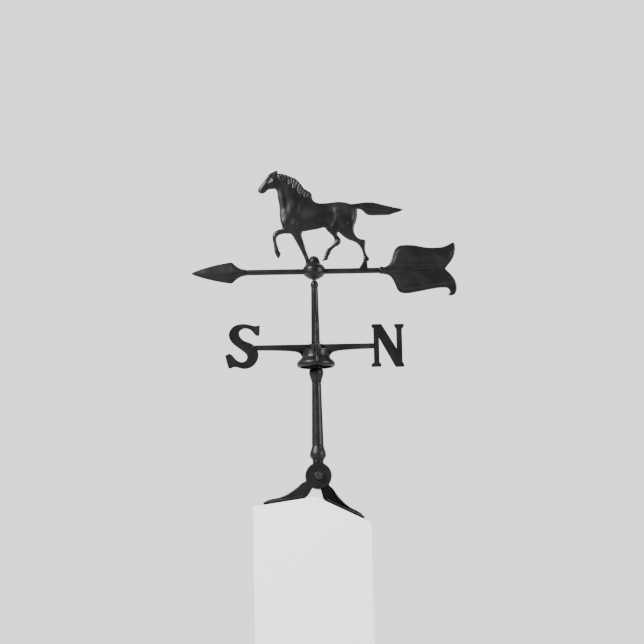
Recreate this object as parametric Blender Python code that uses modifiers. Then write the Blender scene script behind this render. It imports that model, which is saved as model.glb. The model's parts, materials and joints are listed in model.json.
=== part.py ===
"""Roof weather vane: a trotting horse on an arrow turns above a compass cross on a two-legged roof mount.

Blender's metres, +Z up. The origin is on the mast's axis, level with the lowest foot. The arrow and the
north-south bar lie along X, with the arrow's point and the S at -X. E is on the near side, -Y.
Every length below is in millimetres, and MM turns it into metres.
"""
import math

import bmesh
import bpy
from mathutils import Matrix, Vector

MM = 0.001
GAP = 0.3                 # clearance between pieces that touch
CORNER = "corner"         # marks an outline point with straight sides; the other points are smooth

# roof mount, measured from the pivot bolt's centre
SOLE_DROP = 47.2          # pivot to sole, square to the sole
HEEL_REACH = 38.0
TOE_REACH = 134.0
LEFT_PITCH = 8.0          # degrees that each leg is turned down from a level sole
RIGHT_PITCH = 26.0
EAR_RADIUS = 30.0
LUG_HALF = 8.0            # half the socket lug's thickness
EAR_THICKNESS = 7.0
BOLT_RADIUS = 5.0
FOOT_HALF_WIDTH = 27.0
SOLE_THICKNESS = 7.0
FLANGE_HALF_WIDTH = 13.0
LAG_HOLE_RADIUS = 3.5
LAG_HOLE_SIDE = 20.0
LAG_HOLE_REACHES = (62.0, 112.0)

# mast, heights above the pivot bolt
ROD_RADIUS = 4.8
SLEEVE_BORE = 5.2         # bore of everything threaded on the rod
ROD_FOOT = 18.0
SOCKET_TOP = 34.3
BEAD_TOP = 69.3
LOWER_POST_TOP = 213.8
COLLAR_TOP = 245.1
ARM_HEIGHT = 297.8        # axis of the compass arms
UPPER_POST_TOP = 434.6
FERRULE_TOP = 449.1
ARROW_HEIGHT = 472.6      # axis of the arrow
ROD_TIP = ARROW_HEIGHT + 17.0

# compass, heights from the arms' axis
ARM_TOP = 5.0
ARM_BOTTOM = -7.0
ARM_THICKNESS = 8.0
LETTER_THICKNESS = 5.0
ARM_RING_RADIUS = 18.0
BELL_TOP = ARM_BOTTOM - GAP
BELL_NECK = 31.3
BELL_FOOT = COLLAR_TOP + GAP - ARM_HEIGHT
LETTER_START = 127.0      # mast axis to the inner edge of N and E
LETTER_SIZE = 1.03        # the letters against their drawn size

# vane, from the crossing of the arrow's axis and the mast's
SHAFT_RADIUS = 6.35
SPIGOT_RADIUS = 4.0
SHAFT_INNER_END = 11.3
POINT_BASE = 157.0        # arrow point's socket face, at -X
TAIL_BASE = 151.0         # arrow tail's socket face, at +X
SPIGOT_LENGTH = 21.0
HORSE_THICKNESS = 8.0
SADDLE_SCREW_X = 109.3
BALL_RADIUS = 4.75

ARM_SCREW_RADIUS = 21.5   # mast axis to each screw that holds an arm on the bell
ROUND = 24                # sides of a turned piece
SMALL_ROUND = 12          # sides of a screw or pin

EAR_MIDDLE = LUG_HALF + GAP + EAR_THICKNESS / 2

PIVOT_Z = (TOE_REACH * math.sin(math.radians(RIGHT_PITCH))
           + SOLE_DROP * math.cos(math.radians(RIGHT_PITCH)))

# finishes: colour, roughness and metallic
CAST_BLACK = ((0.012, 0.012, 0.014), 0.5, 0.4)
STEEL = ((0.45, 0.45, 0.46), 0.35, 0.95)
NYLON = ((0.75, 0.74, 0.70), 0.6, 0.0)


# ---------------------------------------------------------------- scene and helpers

def clear_scene():
    for obj in list(bpy.data.objects):
        bpy.data.objects.remove(obj, do_unlink=True)


def new_collection(name):
    collection = bpy.data.collections.new(name)
    bpy.context.scene.collection.children.link(collection)
    return collection


def new_material(name, colour, roughness, metallic):
    material = bpy.data.materials.new(name)
    material.use_nodes = True
    shader = material.node_tree.nodes["Principled BSDF"]
    shader.inputs["Base Color"].default_value = (*colour, 1.0)
    shader.inputs["Roughness"].default_value = roughness
    shader.inputs["Metallic"].default_value = metallic
    return material


def new_axis(name, height):
    """An empty on a joint's axis, at a height above the pivot bolt; its body's pieces are its children."""
    axis = bpy.data.objects.new(name, None)
    axis.location = (0, 0, (PIVOT_Z + height) * MM)
    axis.empty_display_size = 40 * MM
    PARTS.objects.link(axis)
    return axis


def add_piece(name, mesh, axis, finish, location=(0, 0, 0), turn=(0, 0, 0)):
    """A piece of the vane, placed in millimetres from its axis and turned by degrees."""
    piece = bpy.data.objects.new(name, mesh)
    piece.parent = axis
    piece.location = Vector(location) * MM
    piece.rotation_euler = [math.radians(angle) for angle in turn]
    colour, roughness, metallic = finish
    piece.data.materials.append(new_material(name, colour, roughness, metallic))
    PARTS.objects.link(piece)
    return piece


def boolean(piece, mesh, operation, location=(0, 0, 0), turn=(0, 0, 0)):
    """Joins a mesh to a piece, or cuts it away; the tool keeps the piece's own frame."""
    tool = bpy.data.objects.new(piece.name + "_" + operation.lower(), mesh)
    tool.parent = piece
    tool.location = Vector(location) * MM
    tool.rotation_euler = [math.radians(angle) for angle in turn]
    tool.hide_render = True
    tool.display_type = "WIRE"
    CUTTERS.objects.link(tool)
    modifier = piece.modifiers.new(operation.capitalize(), "BOOLEAN")
    modifier.operation = operation
    modifier.object = tool


def cut(piece, mesh, location=(0, 0, 0), turn=(0, 0, 0)):
    boolean(piece, mesh, "DIFFERENCE", location, turn)


def join(piece, mesh, location=(0, 0, 0), turn=(0, 0, 0)):
    boolean(piece, mesh, "UNION", location, turn)


def mesh_from(name, bm):
    bmesh.ops.recalc_face_normals(bm, faces=bm.faces)
    mesh = bpy.data.meshes.new(name)
    bm.to_mesh(mesh)
    bm.free()
    return mesh


def box(name, low, high):
    """A box between two corners."""
    bm = bmesh.new()
    bmesh.ops.create_cube(bm, size=1.0)
    size = Vector(high) - Vector(low)
    middle = (Vector(high) + Vector(low)) / 2
    for vert in bm.verts:
        vert.co = Vector(c * s + m for c, s, m in zip(vert.co, size, middle)) * MM
    return mesh_from(name, bm)


def cylinder(name, radius, start, end, axis="Z", sides=SMALL_ROUND, tip_radius=None):
    """A round bar, cone or prism between two places on an axis; its flat ends are at start and end."""
    bm = bmesh.new()
    end_radius = radius if tip_radius is None else tip_radius
    bmesh.ops.create_cone(bm, cap_ends=True, segments=sides, radius1=radius * MM,
                          radius2=end_radius * MM, depth=(end - start) * MM)
    bmesh.ops.translate(bm, verts=bm.verts, vec=(0, 0, (start + end) / 2 * MM))
    if axis == "X":
        bmesh.ops.rotate(bm, verts=bm.verts, matrix=Matrix.Rotation(math.pi / 2, 3, "Y"))
    if axis == "Y":
        bmesh.ops.rotate(bm, verts=bm.verts, matrix=Matrix.Rotation(-math.pi / 2, 3, "X"))
    return mesh_from(name, bm)


def turned(name, profile, sides=ROUND):
    """A turned shape, from (radius, height) pairs down its outer side.

    A profile that starts on the axis ends on it, and one that starts off it closes into a ring.
    """
    curve = bpy.data.meshes.new(name + "_profile")
    points = [(radius * MM, 0, height * MM) for radius, height in profile]
    edges = [(i, i + 1) for i in range(len(points) - 1)]
    if profile[0][0] > 0:
        edges.append((len(points) - 1, 0))
    curve.from_pydata(points, edges, [])
    lathe = bpy.data.objects.new(name, curve)
    screw = lathe.modifiers.new("Screw", "SCREW")
    screw.steps = sides
    screw.render_steps = sides
    screw.use_merge_vertices = True
    screw.merge_threshold = 0.00001
    return baked(lathe)


def baked(obj):
    """The evaluated mesh of an object, welded and facing out; the object is removed."""
    bpy.context.scene.collection.objects.link(obj)
    evaluated = obj.evaluated_get(bpy.context.evaluated_depsgraph_get())
    mesh = bpy.data.meshes.new_from_object(evaluated)
    bpy.data.objects.remove(obj, do_unlink=True)
    bm = bmesh.new()
    bm.from_mesh(mesh)
    bmesh.ops.remove_doubles(bm, verts=bm.verts, dist=0.00001)
    bmesh.ops.recalc_face_normals(bm, faces=bm.faces)
    bm.to_mesh(mesh)
    bm.free()
    return mesh


def plate(name, outline, thickness, steps=2):
    """A flat plate standing in the XZ plane, centred on Y, from (x, z) points; steps divides its curves."""
    curve = bpy.data.curves.new(name, "CURVE")
    curve.dimensions = "2D"
    curve.fill_mode = "BOTH"
    curve.extrude = thickness / 2 * MM
    spline = curve.splines.new("BEZIER")
    spline.bezier_points.add(len(outline) - 1)
    spline.use_cyclic_u = True
    spline.resolution_u = steps
    for knot, (x, z, *kind) in zip(spline.bezier_points, outline):
        knot.co = (x * MM, z * MM, 0)
        handle = "VECTOR" if CORNER in kind else "AUTO"
        knot.handle_left_type = handle
        knot.handle_right_type = handle
    mesh = baked(bpy.data.objects.new(name, curve))
    mesh.transform(Matrix.Rotation(math.pi / 2, 4, "X"))
    return mesh


def corners(points):
    """An outline whose sides are all straight."""
    return [(x, z, CORNER) for x, z in points]


# ---------------------------------------------------------------- roof mount

def add_leg(name, axis, turn):
    """One leg, made with its sole level: the pivot at the origin, the toe at +X, the ear on the +Y side."""
    web = [(28.5, -5.0, CORNER), (32.5, -8.0, CORNER), (75.0, -31.2), (96.0, -36.4), (118.0, -38.2),
           (129.0, -42.0, CORNER), (129.0, -SOLE_DROP + 2, CORNER),
           (HEEL_REACH + 2, -SOLE_DROP + 2, CORNER), (31.0, -40.5), (24.0, -32.5), (17.0, -24.5, CORNER)]
    flange = [(37.5, -9.0, CORNER), (75.0, -29.5), (96.0, -34.6), (118.0, -35.8), (128.0, -38.4),
              (TOE_REACH - 1, -SOLE_DROP + 1, CORNER), (118.0, -41.0, CORNER), (96.0, -38.8),
              (74.0, -33.6), (35.4, -12.4, CORNER)]
    ear = cylinder(name + "_ear", EAR_RADIUS, EAR_MIDDLE - EAR_THICKNESS / 2,
                   EAR_MIDDLE + EAR_THICKNESS / 2, "Y", ROUND)
    sole = box(name + "_sole", (HEEL_REACH, -FOOT_HALF_WIDTH, -SOLE_DROP),
               (TOE_REACH, FOOT_HALF_WIDTH, -SOLE_DROP + SOLE_THICKNESS))
    leg = add_piece(name, ear, axis, CAST_BLACK, turn=turn)
    join(leg, plate(name + "_web", web, EAR_THICKNESS, steps=4), (0, EAR_MIDDLE, 0))
    join(leg, plate(name + "_flange", flange, 2 * FLANGE_HALF_WIDTH, steps=4))
    join(leg, sole)
    cut(leg, cylinder(name + "_pivot_hole", BOLT_RADIUS + GAP, 0, 20, "Y", ROUND))
    for reach in LAG_HOLE_REACHES:
        for side in (-LAG_HOLE_SIDE, LAG_HOLE_SIDE):
            hole = cylinder(name + "_lag_hole", LAG_HOLE_RADIUS, -SOLE_DROP - 2, -SOLE_DROP + 12)
            cut(leg, hole, (reach, side, 0))


def add_roof_mount(mast, left_axis, right_axis):
    add_leg("left_leg", left_axis, (0, LEFT_PITCH, 180))
    add_leg("right_leg", right_axis, (0, RIGHT_PITCH, 0))

    socket = add_piece("mount_socket", cylinder("lug", EAR_RADIUS, -LUG_HALF, LUG_HALF, "Y", ROUND),
                       mast, CAST_BLACK)
    join(socket, cylinder("neck", 12.6, 12.0, SOCKET_TOP, sides=ROUND))
    cut(socket, ear_clearance(-1))
    cut(socket, ear_clearance(1))
    cut(socket, cylinder("rod_hole", SLEEVE_BORE, ROD_FOOT - GAP, SOCKET_TOP + 5, sides=ROUND))
    cut(socket, cylinder("bolt_hole", BOLT_RADIUS + GAP, -20, 20, "Y", ROUND))
    cut(socket, cylinder("socket_screw_hole", 3.0 + GAP, SLEEVE_BORE - 1, 32, "X"), (0, 0, 26))
    add_piece("socket_screw", cylinder("grub", 3.0, SLEEVE_BORE, 14.0, "X"), mast, STEEL, (0, 0, 26))


def ear_clearance(side):
    """The round step beside the lug that an ear turns in, faced just into the lug."""
    start, end = sorted((side * (LUG_HALF - 0.05), side * 20))
    return cylinder("ear_clearance", EAR_RADIUS + 1, start, end, "Y", ROUND)


def add_pivot_bolt(mast):
    ear_face = LUG_HALF + GAP + EAR_THICKNESS
    washer_face = ear_face + GAP + 2.0
    head = cylinder("bolt_head", 9.8, -washer_face - GAP - 6.4, -washer_face - GAP, "Y", 6)
    bolt = add_piece("pivot_bolt", head, mast, STEEL)
    join(bolt, cylinder("bolt_shank", BOLT_RADIUS, -washer_face - 2, washer_face + 11, "Y", ROUND))
    for name, side in (("front_washer", -1), ("back_washer", 1)):
        start, end = sorted((side * (ear_face + GAP), side * washer_face))
        washer = add_piece(name, cylinder("disc", 10.5, start, end, "Y", ROUND), mast, STEEL)
        cut(washer, cylinder("washer_hole", BOLT_RADIUS + GAP, -40, 40, "Y", ROUND))
    hexagon = cylinder("hex", 9.8, washer_face + GAP, washer_face + 8, "Y", 6)
    nut = add_piece("pivot_nut", hexagon, mast, STEEL)
    cut(nut, cylinder("nut_hole", BOLT_RADIUS + GAP, 0, 40, "Y", ROUND))


# ---------------------------------------------------------------- mast

def ring_profile(outer, bore=SLEEVE_BORE):
    """A turned sleeve: its outer side from the top down, then its bore."""
    return outer + [(bore, outer[-1][1]), (bore, outer[0][1])]


def add_mast(mast):
    rod = [(0, ROD_TIP), (ROD_RADIUS - 1, ROD_TIP), (ROD_RADIUS, ROD_TIP - 1), (ROD_RADIUS, ROD_FOOT),
           (0, ROD_FOOT)]
    add_piece("spindle_rod", turned("rod", rod), mast, STEEL)
    ball = bmesh.new()
    bmesh.ops.create_uvsphere(ball, u_segments=SMALL_ROUND, v_segments=8, radius=BALL_RADIUS * MM)
    add_piece("bearing_ball", mesh_from("ball", ball), mast, STEEL, (0, 0, ROD_TIP + GAP + BALL_RADIUS))

    bead_low = SOCKET_TOP + GAP
    bead = [(13.5, BEAD_TOP), (15.0, 62.5), (17.4, 55.5), (18.3, 49.0), (17.2, 42.8), (13.8, 38.0),
            (12.7, bead_low)]
    add_piece("foot_bead", turned("bead", ring_profile(bead)), mast, CAST_BLACK)

    lower = [(10.5, LOWER_POST_TOP), (13.4, BEAD_TOP + GAP)]
    add_piece("lower_post", turned("lower", ring_profile(lower)), mast, CAST_BLACK)

    collar = [(14.8, COLLAR_TOP), (16.5, 238.0), (14.3, 227.5), (12.1, 220.5), (10.6, LOWER_POST_TOP + GAP)]
    post_collar = add_piece("post_collar", turned("collar", ring_profile(collar)), mast, CAST_BLACK)
    cut(post_collar, cylinder("collar_screw_hole", 2.0 + GAP, -20, -SLEEVE_BORE + 1, "Y"), (0, 0, 236))
    add_piece("collar_screw", cylinder("grub", 2.0, -15.5, -SLEEVE_BORE, "Y"), mast, STEEL, (0, 0, 236))

    upper = [(7.7, UPPER_POST_TOP), (9.9, ARM_HEIGHT + ARM_TOP + GAP)]
    add_piece("upper_post", turned("upper", ring_profile(upper)), mast, CAST_BLACK)

    ferrule = [(6.2, FERRULE_TOP), (8.3, 445.0), (9.0, 441.5), (7.9, UPPER_POST_TOP + GAP)]
    top_ferrule = add_piece("top_ferrule", turned("ferrule", ring_profile(ferrule)), mast, CAST_BLACK)
    cut(top_ferrule, cylinder("ferrule_screw_hole", 1.5 + GAP, -12, -SLEEVE_BORE + 1, "Y"), (0, 0, 441.5))
    add_piece("ferrule_screw", cylinder("grub", 1.5, -8.4, -SLEEVE_BORE, "Y"), mast, STEEL, (0, 0, 441.5))


# ---------------------------------------------------------------- compass

def letter_n():
    """Slab-serif N, its left edge at x = 0."""
    return corners([(2, 48), (2, 42), (6, 38), (6, -38), (0, -42), (0, -48), (22, -48), (22, -42),
                    (18, -38), (18, 17), (54, -49), (73, -49), (73, -43), (69.5, -38), (69.5, 37),
                    (74, 41), (74, 47.5), (53, 47.5), (53, 41.5), (57, 37), (57, -8), (24, 48)])


def letter_s():
    """Slab-serif S, its left edge at x = 0."""
    return [(78.5, 50, CORNER), (66, 48.6), (57, 51), (42, 53.6), (27, 51.6), (17, 46), (10.5, 37), (9, 28),
            (12, 18), (19, 9), (29, 1), (39, -7), (46, -13), (49, -19), (48, -25), (44, -30), (36, -32),
            (28, -29), (21, -23), (15, -15.5), (10, -12.5, CORNER), (0, -16.5, CORNER), (4, -34),
            (7.5, -45.5, CORNER), (13, -45), (19, -42.5), (27, -43.5), (37, -46.5), (49, -46.5), (60, -42),
            (68, -34), (73, -24), (74, -14), (71, -4), (64, 5), (57, 10), (49, 13), (41, 17), (35, 23),
            (32, 30), (32.5, 36), (37, 41), (44, 43.6), (52, 42.6), (59, 39), (65, 32), (70, 26.6, CORNER),
            (77, 27, CORNER)]


def letter_e():
    """Slab-serif E, its left edge at x = 0."""
    return corners([(0, 48), (65, 48), (65, 25), (59, 25), (54, 38), (26, 38), (26, 6), (37, 6), (40, 15),
                    (46, 15), (46, -15), (40, -15), (37, -6), (26, -6), (26, -38), (56, -38), (62, -24),
                    (68, -24), (68, -48), (0, -48), (0, -42), (8, -37), (8, 37), (0, 42)])


def letter_w():
    """Slab-serif W, its left edge at x = 0."""
    half = corners([(0, 48), (0, 42), (7, 38), (25, -48), (34, -48)])
    inner = corners([(42, 34), (30.5, -20), (19, 38), (26, 42), (26, 48)])
    right = [(92 - x, z, kind) for x, z, kind in reversed(half)]
    inner_right = [(92 - x, z, kind) for x, z, kind in reversed(inner)]
    return half + [(46, 4, CORNER)] + right + inner_right + inner


def placed_letter(outline, start):
    return [(start + LETTER_SIZE * x, LETTER_SIZE * z, *kind) for x, z, *kind in outline]


def arm_outline(left_end, right_end):
    """A compass arm: straight on top, with a cove on each side down to the bell's neck."""
    foot = BELL_NECK + GAP + 0.3
    side = [(75, -8.5), (52, -10.5), (41, -13), (35, -17), (foot + 1.6, -21.5),
            (foot, -24, CORNER), (foot, ARM_BOTTOM, CORNER)]
    right = [(right_end, ARM_TOP, CORNER), (right_end, ARM_BOTTOM + 0.5, CORNER)] + side
    left = [(left_end, ARM_TOP, CORNER), (left_end, ARM_BOTTOM + 0.5, CORNER)]
    left += [(-x, z, *kind) for x, z, *kind in side]
    return right + left[::-1]


def add_directional(name, axis, turn, left, right, ring_low, ring_high):
    """A compass bar with a letter at each end, and a ring round the spindle at its middle.

    Each side is its letter's outline, the place of the letter's left edge and the end of the arm inside it.
    """
    left_letter, left_start, left_arm = left
    right_letter, right_start, right_arm = right
    bar = add_piece(name, plate(name + "_arm", arm_outline(left_arm, right_arm), ARM_THICKNESS, steps=3),
                    axis, CAST_BLACK, turn=turn)
    join(bar, plate(name + "_left", placed_letter(left_letter, left_start), LETTER_THICKNESS))
    join(bar, plate(name + "_right", placed_letter(right_letter, right_start), LETTER_THICKNESS))
    lap_low, lap_high = (ring_high, ARM_TOP + 1) if ring_low == ARM_BOTTOM else (ARM_BOTTOM - 1, ring_low)
    lap_reach = ARM_RING_RADIUS + 0.5
    cut(bar, box(name + "_lap", (-lap_reach, -20, lap_low), (lap_reach, 20, lap_high)))
    join(bar, cylinder(name + "_ring", ARM_RING_RADIUS, ring_low, ring_high, sides=ROUND))
    cut(bar, cylinder(name + "_bore", SLEEVE_BORE, -40, 40, sides=ROUND))
    for side in (-1, 1):
        cut(bar, cylinder("screw_hole", 2.0 + GAP, ARM_BOTTOM - 2, -0.5), (side * ARM_SCREW_RADIUS, 0, 0))


def add_compass(axis):
    middle = (ARM_TOP + ARM_BOTTOM) / 2
    add_directional("ns_directional", axis, (0, 0, 0), (letter_s(), -208, -146),
                    (letter_n(), LETTER_START, 142), middle + GAP / 2, ARM_TOP)
    add_directional("ew_directional", axis, (0, 0, -90), (letter_w(), -211, -138),
                    (letter_e(), LETTER_START, 145), ARM_BOTTOM, middle - GAP / 2)

    bell = [(BELL_NECK - 1.5, BELL_TOP), (BELL_NECK, BELL_TOP - 1.5), (BELL_NECK, -21.5), (32.2, -24.8),
            (35, -28.6), (39.4, -32.5), (42.7, -36.5), (43.6, -40.8), (42.6, -45), (39.6, -47.4), (36.8, -46.4),
            (36.8, -41), (30.5, -32.5), (27, -25), (26.5, -12.5), (14, -12.5), (14, BELL_FOOT),
            (SLEEVE_BORE, BELL_FOOT), (SLEEVE_BORE, BELL_TOP)]
    hub = add_piece("directional_bell", turned("bell", bell), axis, CAST_BLACK)
    for quarter, side in enumerate("nwse"):
        name = "arm_screw_" + side
        x = ARM_SCREW_RADIUS * math.cos(math.radians(90 * quarter))
        y = ARM_SCREW_RADIUS * math.sin(math.radians(90 * quarter))
        cut(hub, cylinder(name + "_hole", 2.0 + GAP, -15, -5), (x, y, 0))
        screw = add_piece(name, cylinder("head", 3.4, -15.2, -12.5 - GAP), axis, STEEL, (x, y, 0))
        join(screw, cylinder("shank", 2.0, -13, -1))
    for name, side in (("compass_screw_front", -1), ("compass_screw_back", 1)):
        start, end = sorted((side * SLEEVE_BORE, side * 13.6))
        hole_start, hole_end = sorted((side * (SLEEVE_BORE - 1), side * 18))
        cut(hub, cylinder(name + "_hole", 2.5 + GAP, hole_start, hole_end, "Y"), (0, 0, -48.5))
        add_piece(name, cylinder("grub", 2.5, start, end, "Y"), axis, STEEL, (0, 0, -48.5))


# ---------------------------------------------------------------- vane

def horse_outline():
    """A trotting horse facing -X, from its muzzle over its back, with a tenon under each standing hoof."""
    head = [(-126, 192), (-124, 198), (-118, 206), (-111, 215), (-105, 223), (-101, 229), (-96, 232.5),
            (-90, 235.5), (-81.5, 239.5, CORNER), (-79.5, 231.5, CORNER)]
    mane = [(-70.5, 231), (-60.5, 228.5), (-45.5, 222), (-38.5, 219), (-32.5, 212.5), (-26.5, 206),
            (-22, 199), (-18.5, 195), (-11.5, 190.5), (-4.5, 185), (-1.5, 180)]
    back = [(-1.5, 173), (0.5, 168), (5.5, 163), (12, 160.5), (26, 159.5), (40, 160.5), (54, 162),
            (66, 162), (76, 160.5), (89, 157), (97, 157, CORNER)]
    tail = [(107, 158.5), (119, 160), (132, 160), (142, 159), (154, 156), (164, 153), (177, 150),
            (188, 147), (200, 144.5), (209.5, 141.5, CORNER), (199, 136.5), (189, 134), (177, 130),
            (164, 129.5), (150, 129.5), (134, 129.5), (128, 130.5), (123, 133), (117, 139), (110, 144),
            (102.5, 145, CORNER)]
    standing_hind = [(102.5, 137.5), (102, 126), (99.5, 116), (95.5, 107.5), (94, 100), (94.5, 90),
                     (97, 84), (100.5, 79), (107, 74.5), (118, 72), (120, 69), (119.5, 61), (118.7, 50),
                     (120.5, 41), (123.7, 34), (127.5, 29, CORNER), (127.8, 25), (123.5, 21.5, CORNER),
                     (121.5, 21, CORNER), (121.5, 9, CORNER), (113.7, 9, CORNER), (113.7, 20, CORNER),
                     (114.6, 32.5), (113.7, 40), (111, 50), (107, 57.5), (100.3, 64.5), (91.8, 69.5),
                     (82, 73), (74.3, 77.5), (68, 82.5), (62, 88.5), (57.5, 92, CORNER)]
    raised_hind = [(55.8, 87.5), (57.3, 81.5), (61.2, 77), (63.3, 71.5), (61.8, 65), (56.8, 60),
                   (49.3, 56.3), (43.7, 51.3), (40, 46.3), (38, 41.3), (35, 36.3), (33.5, 33),
                   (32.3, 27.3, CORNER), (26.8, 25.6), (19.4, 24, CORNER), (21.6, 29), (23.7, 35),
                   (26.5, 43.3), (30, 50.4), (37, 56), (43.4, 61.5), (47.7, 67.3), (48.3, 74.3),
                   (45.5, 81.4), (39.2, 88.4), (32, 95.5), (28.6, 101), (25, 102.5)]
    belly = [(19.4, 101.8), (11, 99.7), (-1.7, 97.6), (-14.4, 95.5), (-24.5, 94, CORNER)]
    standing_fore = [(-26.8, 87), (-24.3, 74.3), (-20.8, 61.6), (-17.2, 47.5), (-13.7, 37.7),
                     (-11.6, 32, CORNER), (-11.2, 12, CORNER), (-18.5, 12, CORNER), (-18.6, 22, CORNER),
                     (-20.7, 29), (-24.3, 37.7), (-28.5, 47.5), (-34, 58.8), (-39.8, 70), (-45.4, 80),
                     (-49.7, 87), (-52.5, 89.5, CORNER)]
    raised_fore = [(-65.2, 90), (-75, 88.4), (-81.4, 85.6), (-84.6, 81.4), (-85.6, 73), (-83.5, 63),
                   (-80.7, 53.2), (-79.3, 48.2), (-75.8, 44.7, CORNER), (-77.9, 37.7),
                   (-81.4, 31.3, CORNER), (-87, 39), (-89.9, 47.5), (-91.3, 57.4), (-92.7, 68.7),
                   (-94.5, 80), (-92, 91.3), (-87.7, 95.5), (-79.3, 99.7), (-72.2, 101.8)]
    neck = [(-72.5, 109.6), (-75, 118), (-76.5, 132), (-76.7, 143), (-77.2, 155), (-78.6, 166),
            (-80.7, 177), (-81.4, 186), (-83.5, 193), (-87, 195.6), (-93.4, 195.4), (-100.4, 195),
            (-105.4, 192), (-109, 188), (-113, 186), (-118.7, 185.3), (-123.7, 188)]
    return (head + mane + back + tail + standing_hind + raised_hind + belly + standing_fore + raised_fore
            + neck)


def tulip_outline():
    """The arrow's tail: a flat tulip with curled tips."""
    top = [(158, 6, CORNER), (169, 10), (174, 15.5), (177.5, 22), (180, 29), (183, 39), (187, 47.5),
           (192, 53), (199, 56.7), (209, 57.7), (221, 57.8), (234, 56.5), (249, 53.3), (264, 51),
           (279, 50.4), (294, 51.2), (304, 53.7), (312, 57.2), (319, 61), (323, 62.6, CORNER)]
    back = [(325.5, 59), (326.7, 51), (326.4, 43), (324.3, 34), (321, 26), (316, 18), (310, 10.6),
            (303, 2, CORNER), (305, -2), (311, -8), (317, -15), (322, -22), (325.3, -29), (327.3, -37),
            (327.9, -46), (326, -54), (321, -59.8), (314.5, -61.5), (307.5, -60.3, CORNER)]
    bottom = [(311, -55), (312, -51), (310, -47), (305.5, -43.9), (299, -43), (289, -43.2), (274, -45),
              (254, -48.5), (234, -52), (219, -54.4), (206, -54.4), (197, -52), (191.5, -46), (188, -38),
              (185, -30), (181, -22), (176, -15), (170, -11), (158, -8, CORNER)]
    return top + back + bottom


def spear_head(name):
    """The arrow's point, lofted along X: a flat diamond with a ridge, running into a round socket."""
    flat = [(-282, 0.9, 1.2), (-275, 4.5, 2.6), (-262, 9.0, 3.6), (-250, 12.8, 4.4), (-237, 16.2, 5.0),
            (-225, 19.0, 5.6), (-212, 21.5, 6.1), (-200, 23.6, 6.6), (-192, 24.8, 7.0), (-188, 23.7, 7.1),
            (-182, 18.0, 7.2), (-175, 12.5, 7.3), (-168, 9.2, 7.4)]
    rings = []
    for x, height, thickness in flat:
        edge = min(1.1, thickness / 2)
        quarter = [(thickness, height * 0.1), (edge, height)]
        rings.append((x, quarter))
    for x, radius in ((-163, 7.6), (-POINT_BASE, 7.2)):
        angles = (math.radians(22.5), math.radians(67.5))
        quarter = [(radius * math.cos(angle), radius * math.sin(angle)) for angle in angles]
        rings.append((x, quarter))
    bm = bmesh.new()
    loops = []
    for x, ((y0, z0), (y1, z1)) in rings:
        section = [(y0, z0), (y1, z1), (-y1, z1), (-y0, z0), (-y0, -z0), (-y1, -z1), (y1, -z1), (y0, -z0)]
        loops.append([bm.verts.new(Vector((x, y, z)) * MM) for y, z in section])
    for near, far in zip(loops, loops[1:]):
        for i in range(len(near)):
            j = (i + 1) % len(near)
            bm.faces.new((near[i], near[j], far[j], far[i]))
    bm.faces.new(loops[0])
    bm.faces.new(loops[-1])
    return mesh_from(name, bm)


def shaft_profile(shoulder):
    """Half of the arrow's shaft, from its spigot's end down to the end inside the hub."""
    return [(0, shoulder + SPIGOT_LENGTH), (SPIGOT_RADIUS, shoulder + SPIGOT_LENGTH),
            (SPIGOT_RADIUS, shoulder - GAP), (SHAFT_RADIUS, shoulder - GAP),
            (SHAFT_RADIUS, SHAFT_INNER_END), (0, SHAFT_INNER_END)]


def add_hub(axis):
    dome = [(0, 36), (5.4, 35.2), (9.3, 32.2), (12, 27), (13.9, 22.3), (16, 18.4), (19.6, 14.6),
            (25.2, 7.5), (25.8, 2), (25.2, -5), (20, -10.6), (13.5, -16), (8.8, -18.5), (0, -18.5)]
    hub = add_piece("arrow_hub", turned("dome", dome), axis, CAST_BLACK)
    cut(hub, cylinder("rod_bore", SLEEVE_BORE, -30, 27.1, sides=ROUND))
    cut(hub, cylinder("bush_seat", 7.8, -30, -7.0, sides=ROUND))
    for side in (-1, 1):
        start, end = sorted((side * (SHAFT_INNER_END - GAP), side * 40))
        cut(hub, cylinder("shaft_socket", SHAFT_RADIUS + GAP, start, end, "X", ROUND))
        cut(hub, cylinder("set_screw_hole", 2.5 + GAP, -25, -5), (side * 19, 0, 0))
    slot_half = HORSE_THICKNESS / 2 + GAP
    cut(hub, box("hoof_slot", (-24, -slot_half, 11.7), (-10.9, slot_half, 40)))
    cut(hub, cylinder("foot_pin_hole", 1.5 + GAP, -30, 30, "Y"), (-14.8, 0, 16))

    bush = [(7.5, -7.3), (7.5, -18.2), (SLEEVE_BORE - 0.1, -18.2), (SLEEVE_BORE - 0.1, -7.3)]
    add_piece("hub_bush", turned("bush", bush), axis, NYLON)
    for name, x in (("hub_screw_front", -19), ("hub_screw_rear", 19)):
        add_piece(name, cylinder("grub", 2.5, -11.5, -SHAFT_RADIUS - GAP), axis, STEEL, (x, 0, 0))


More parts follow.
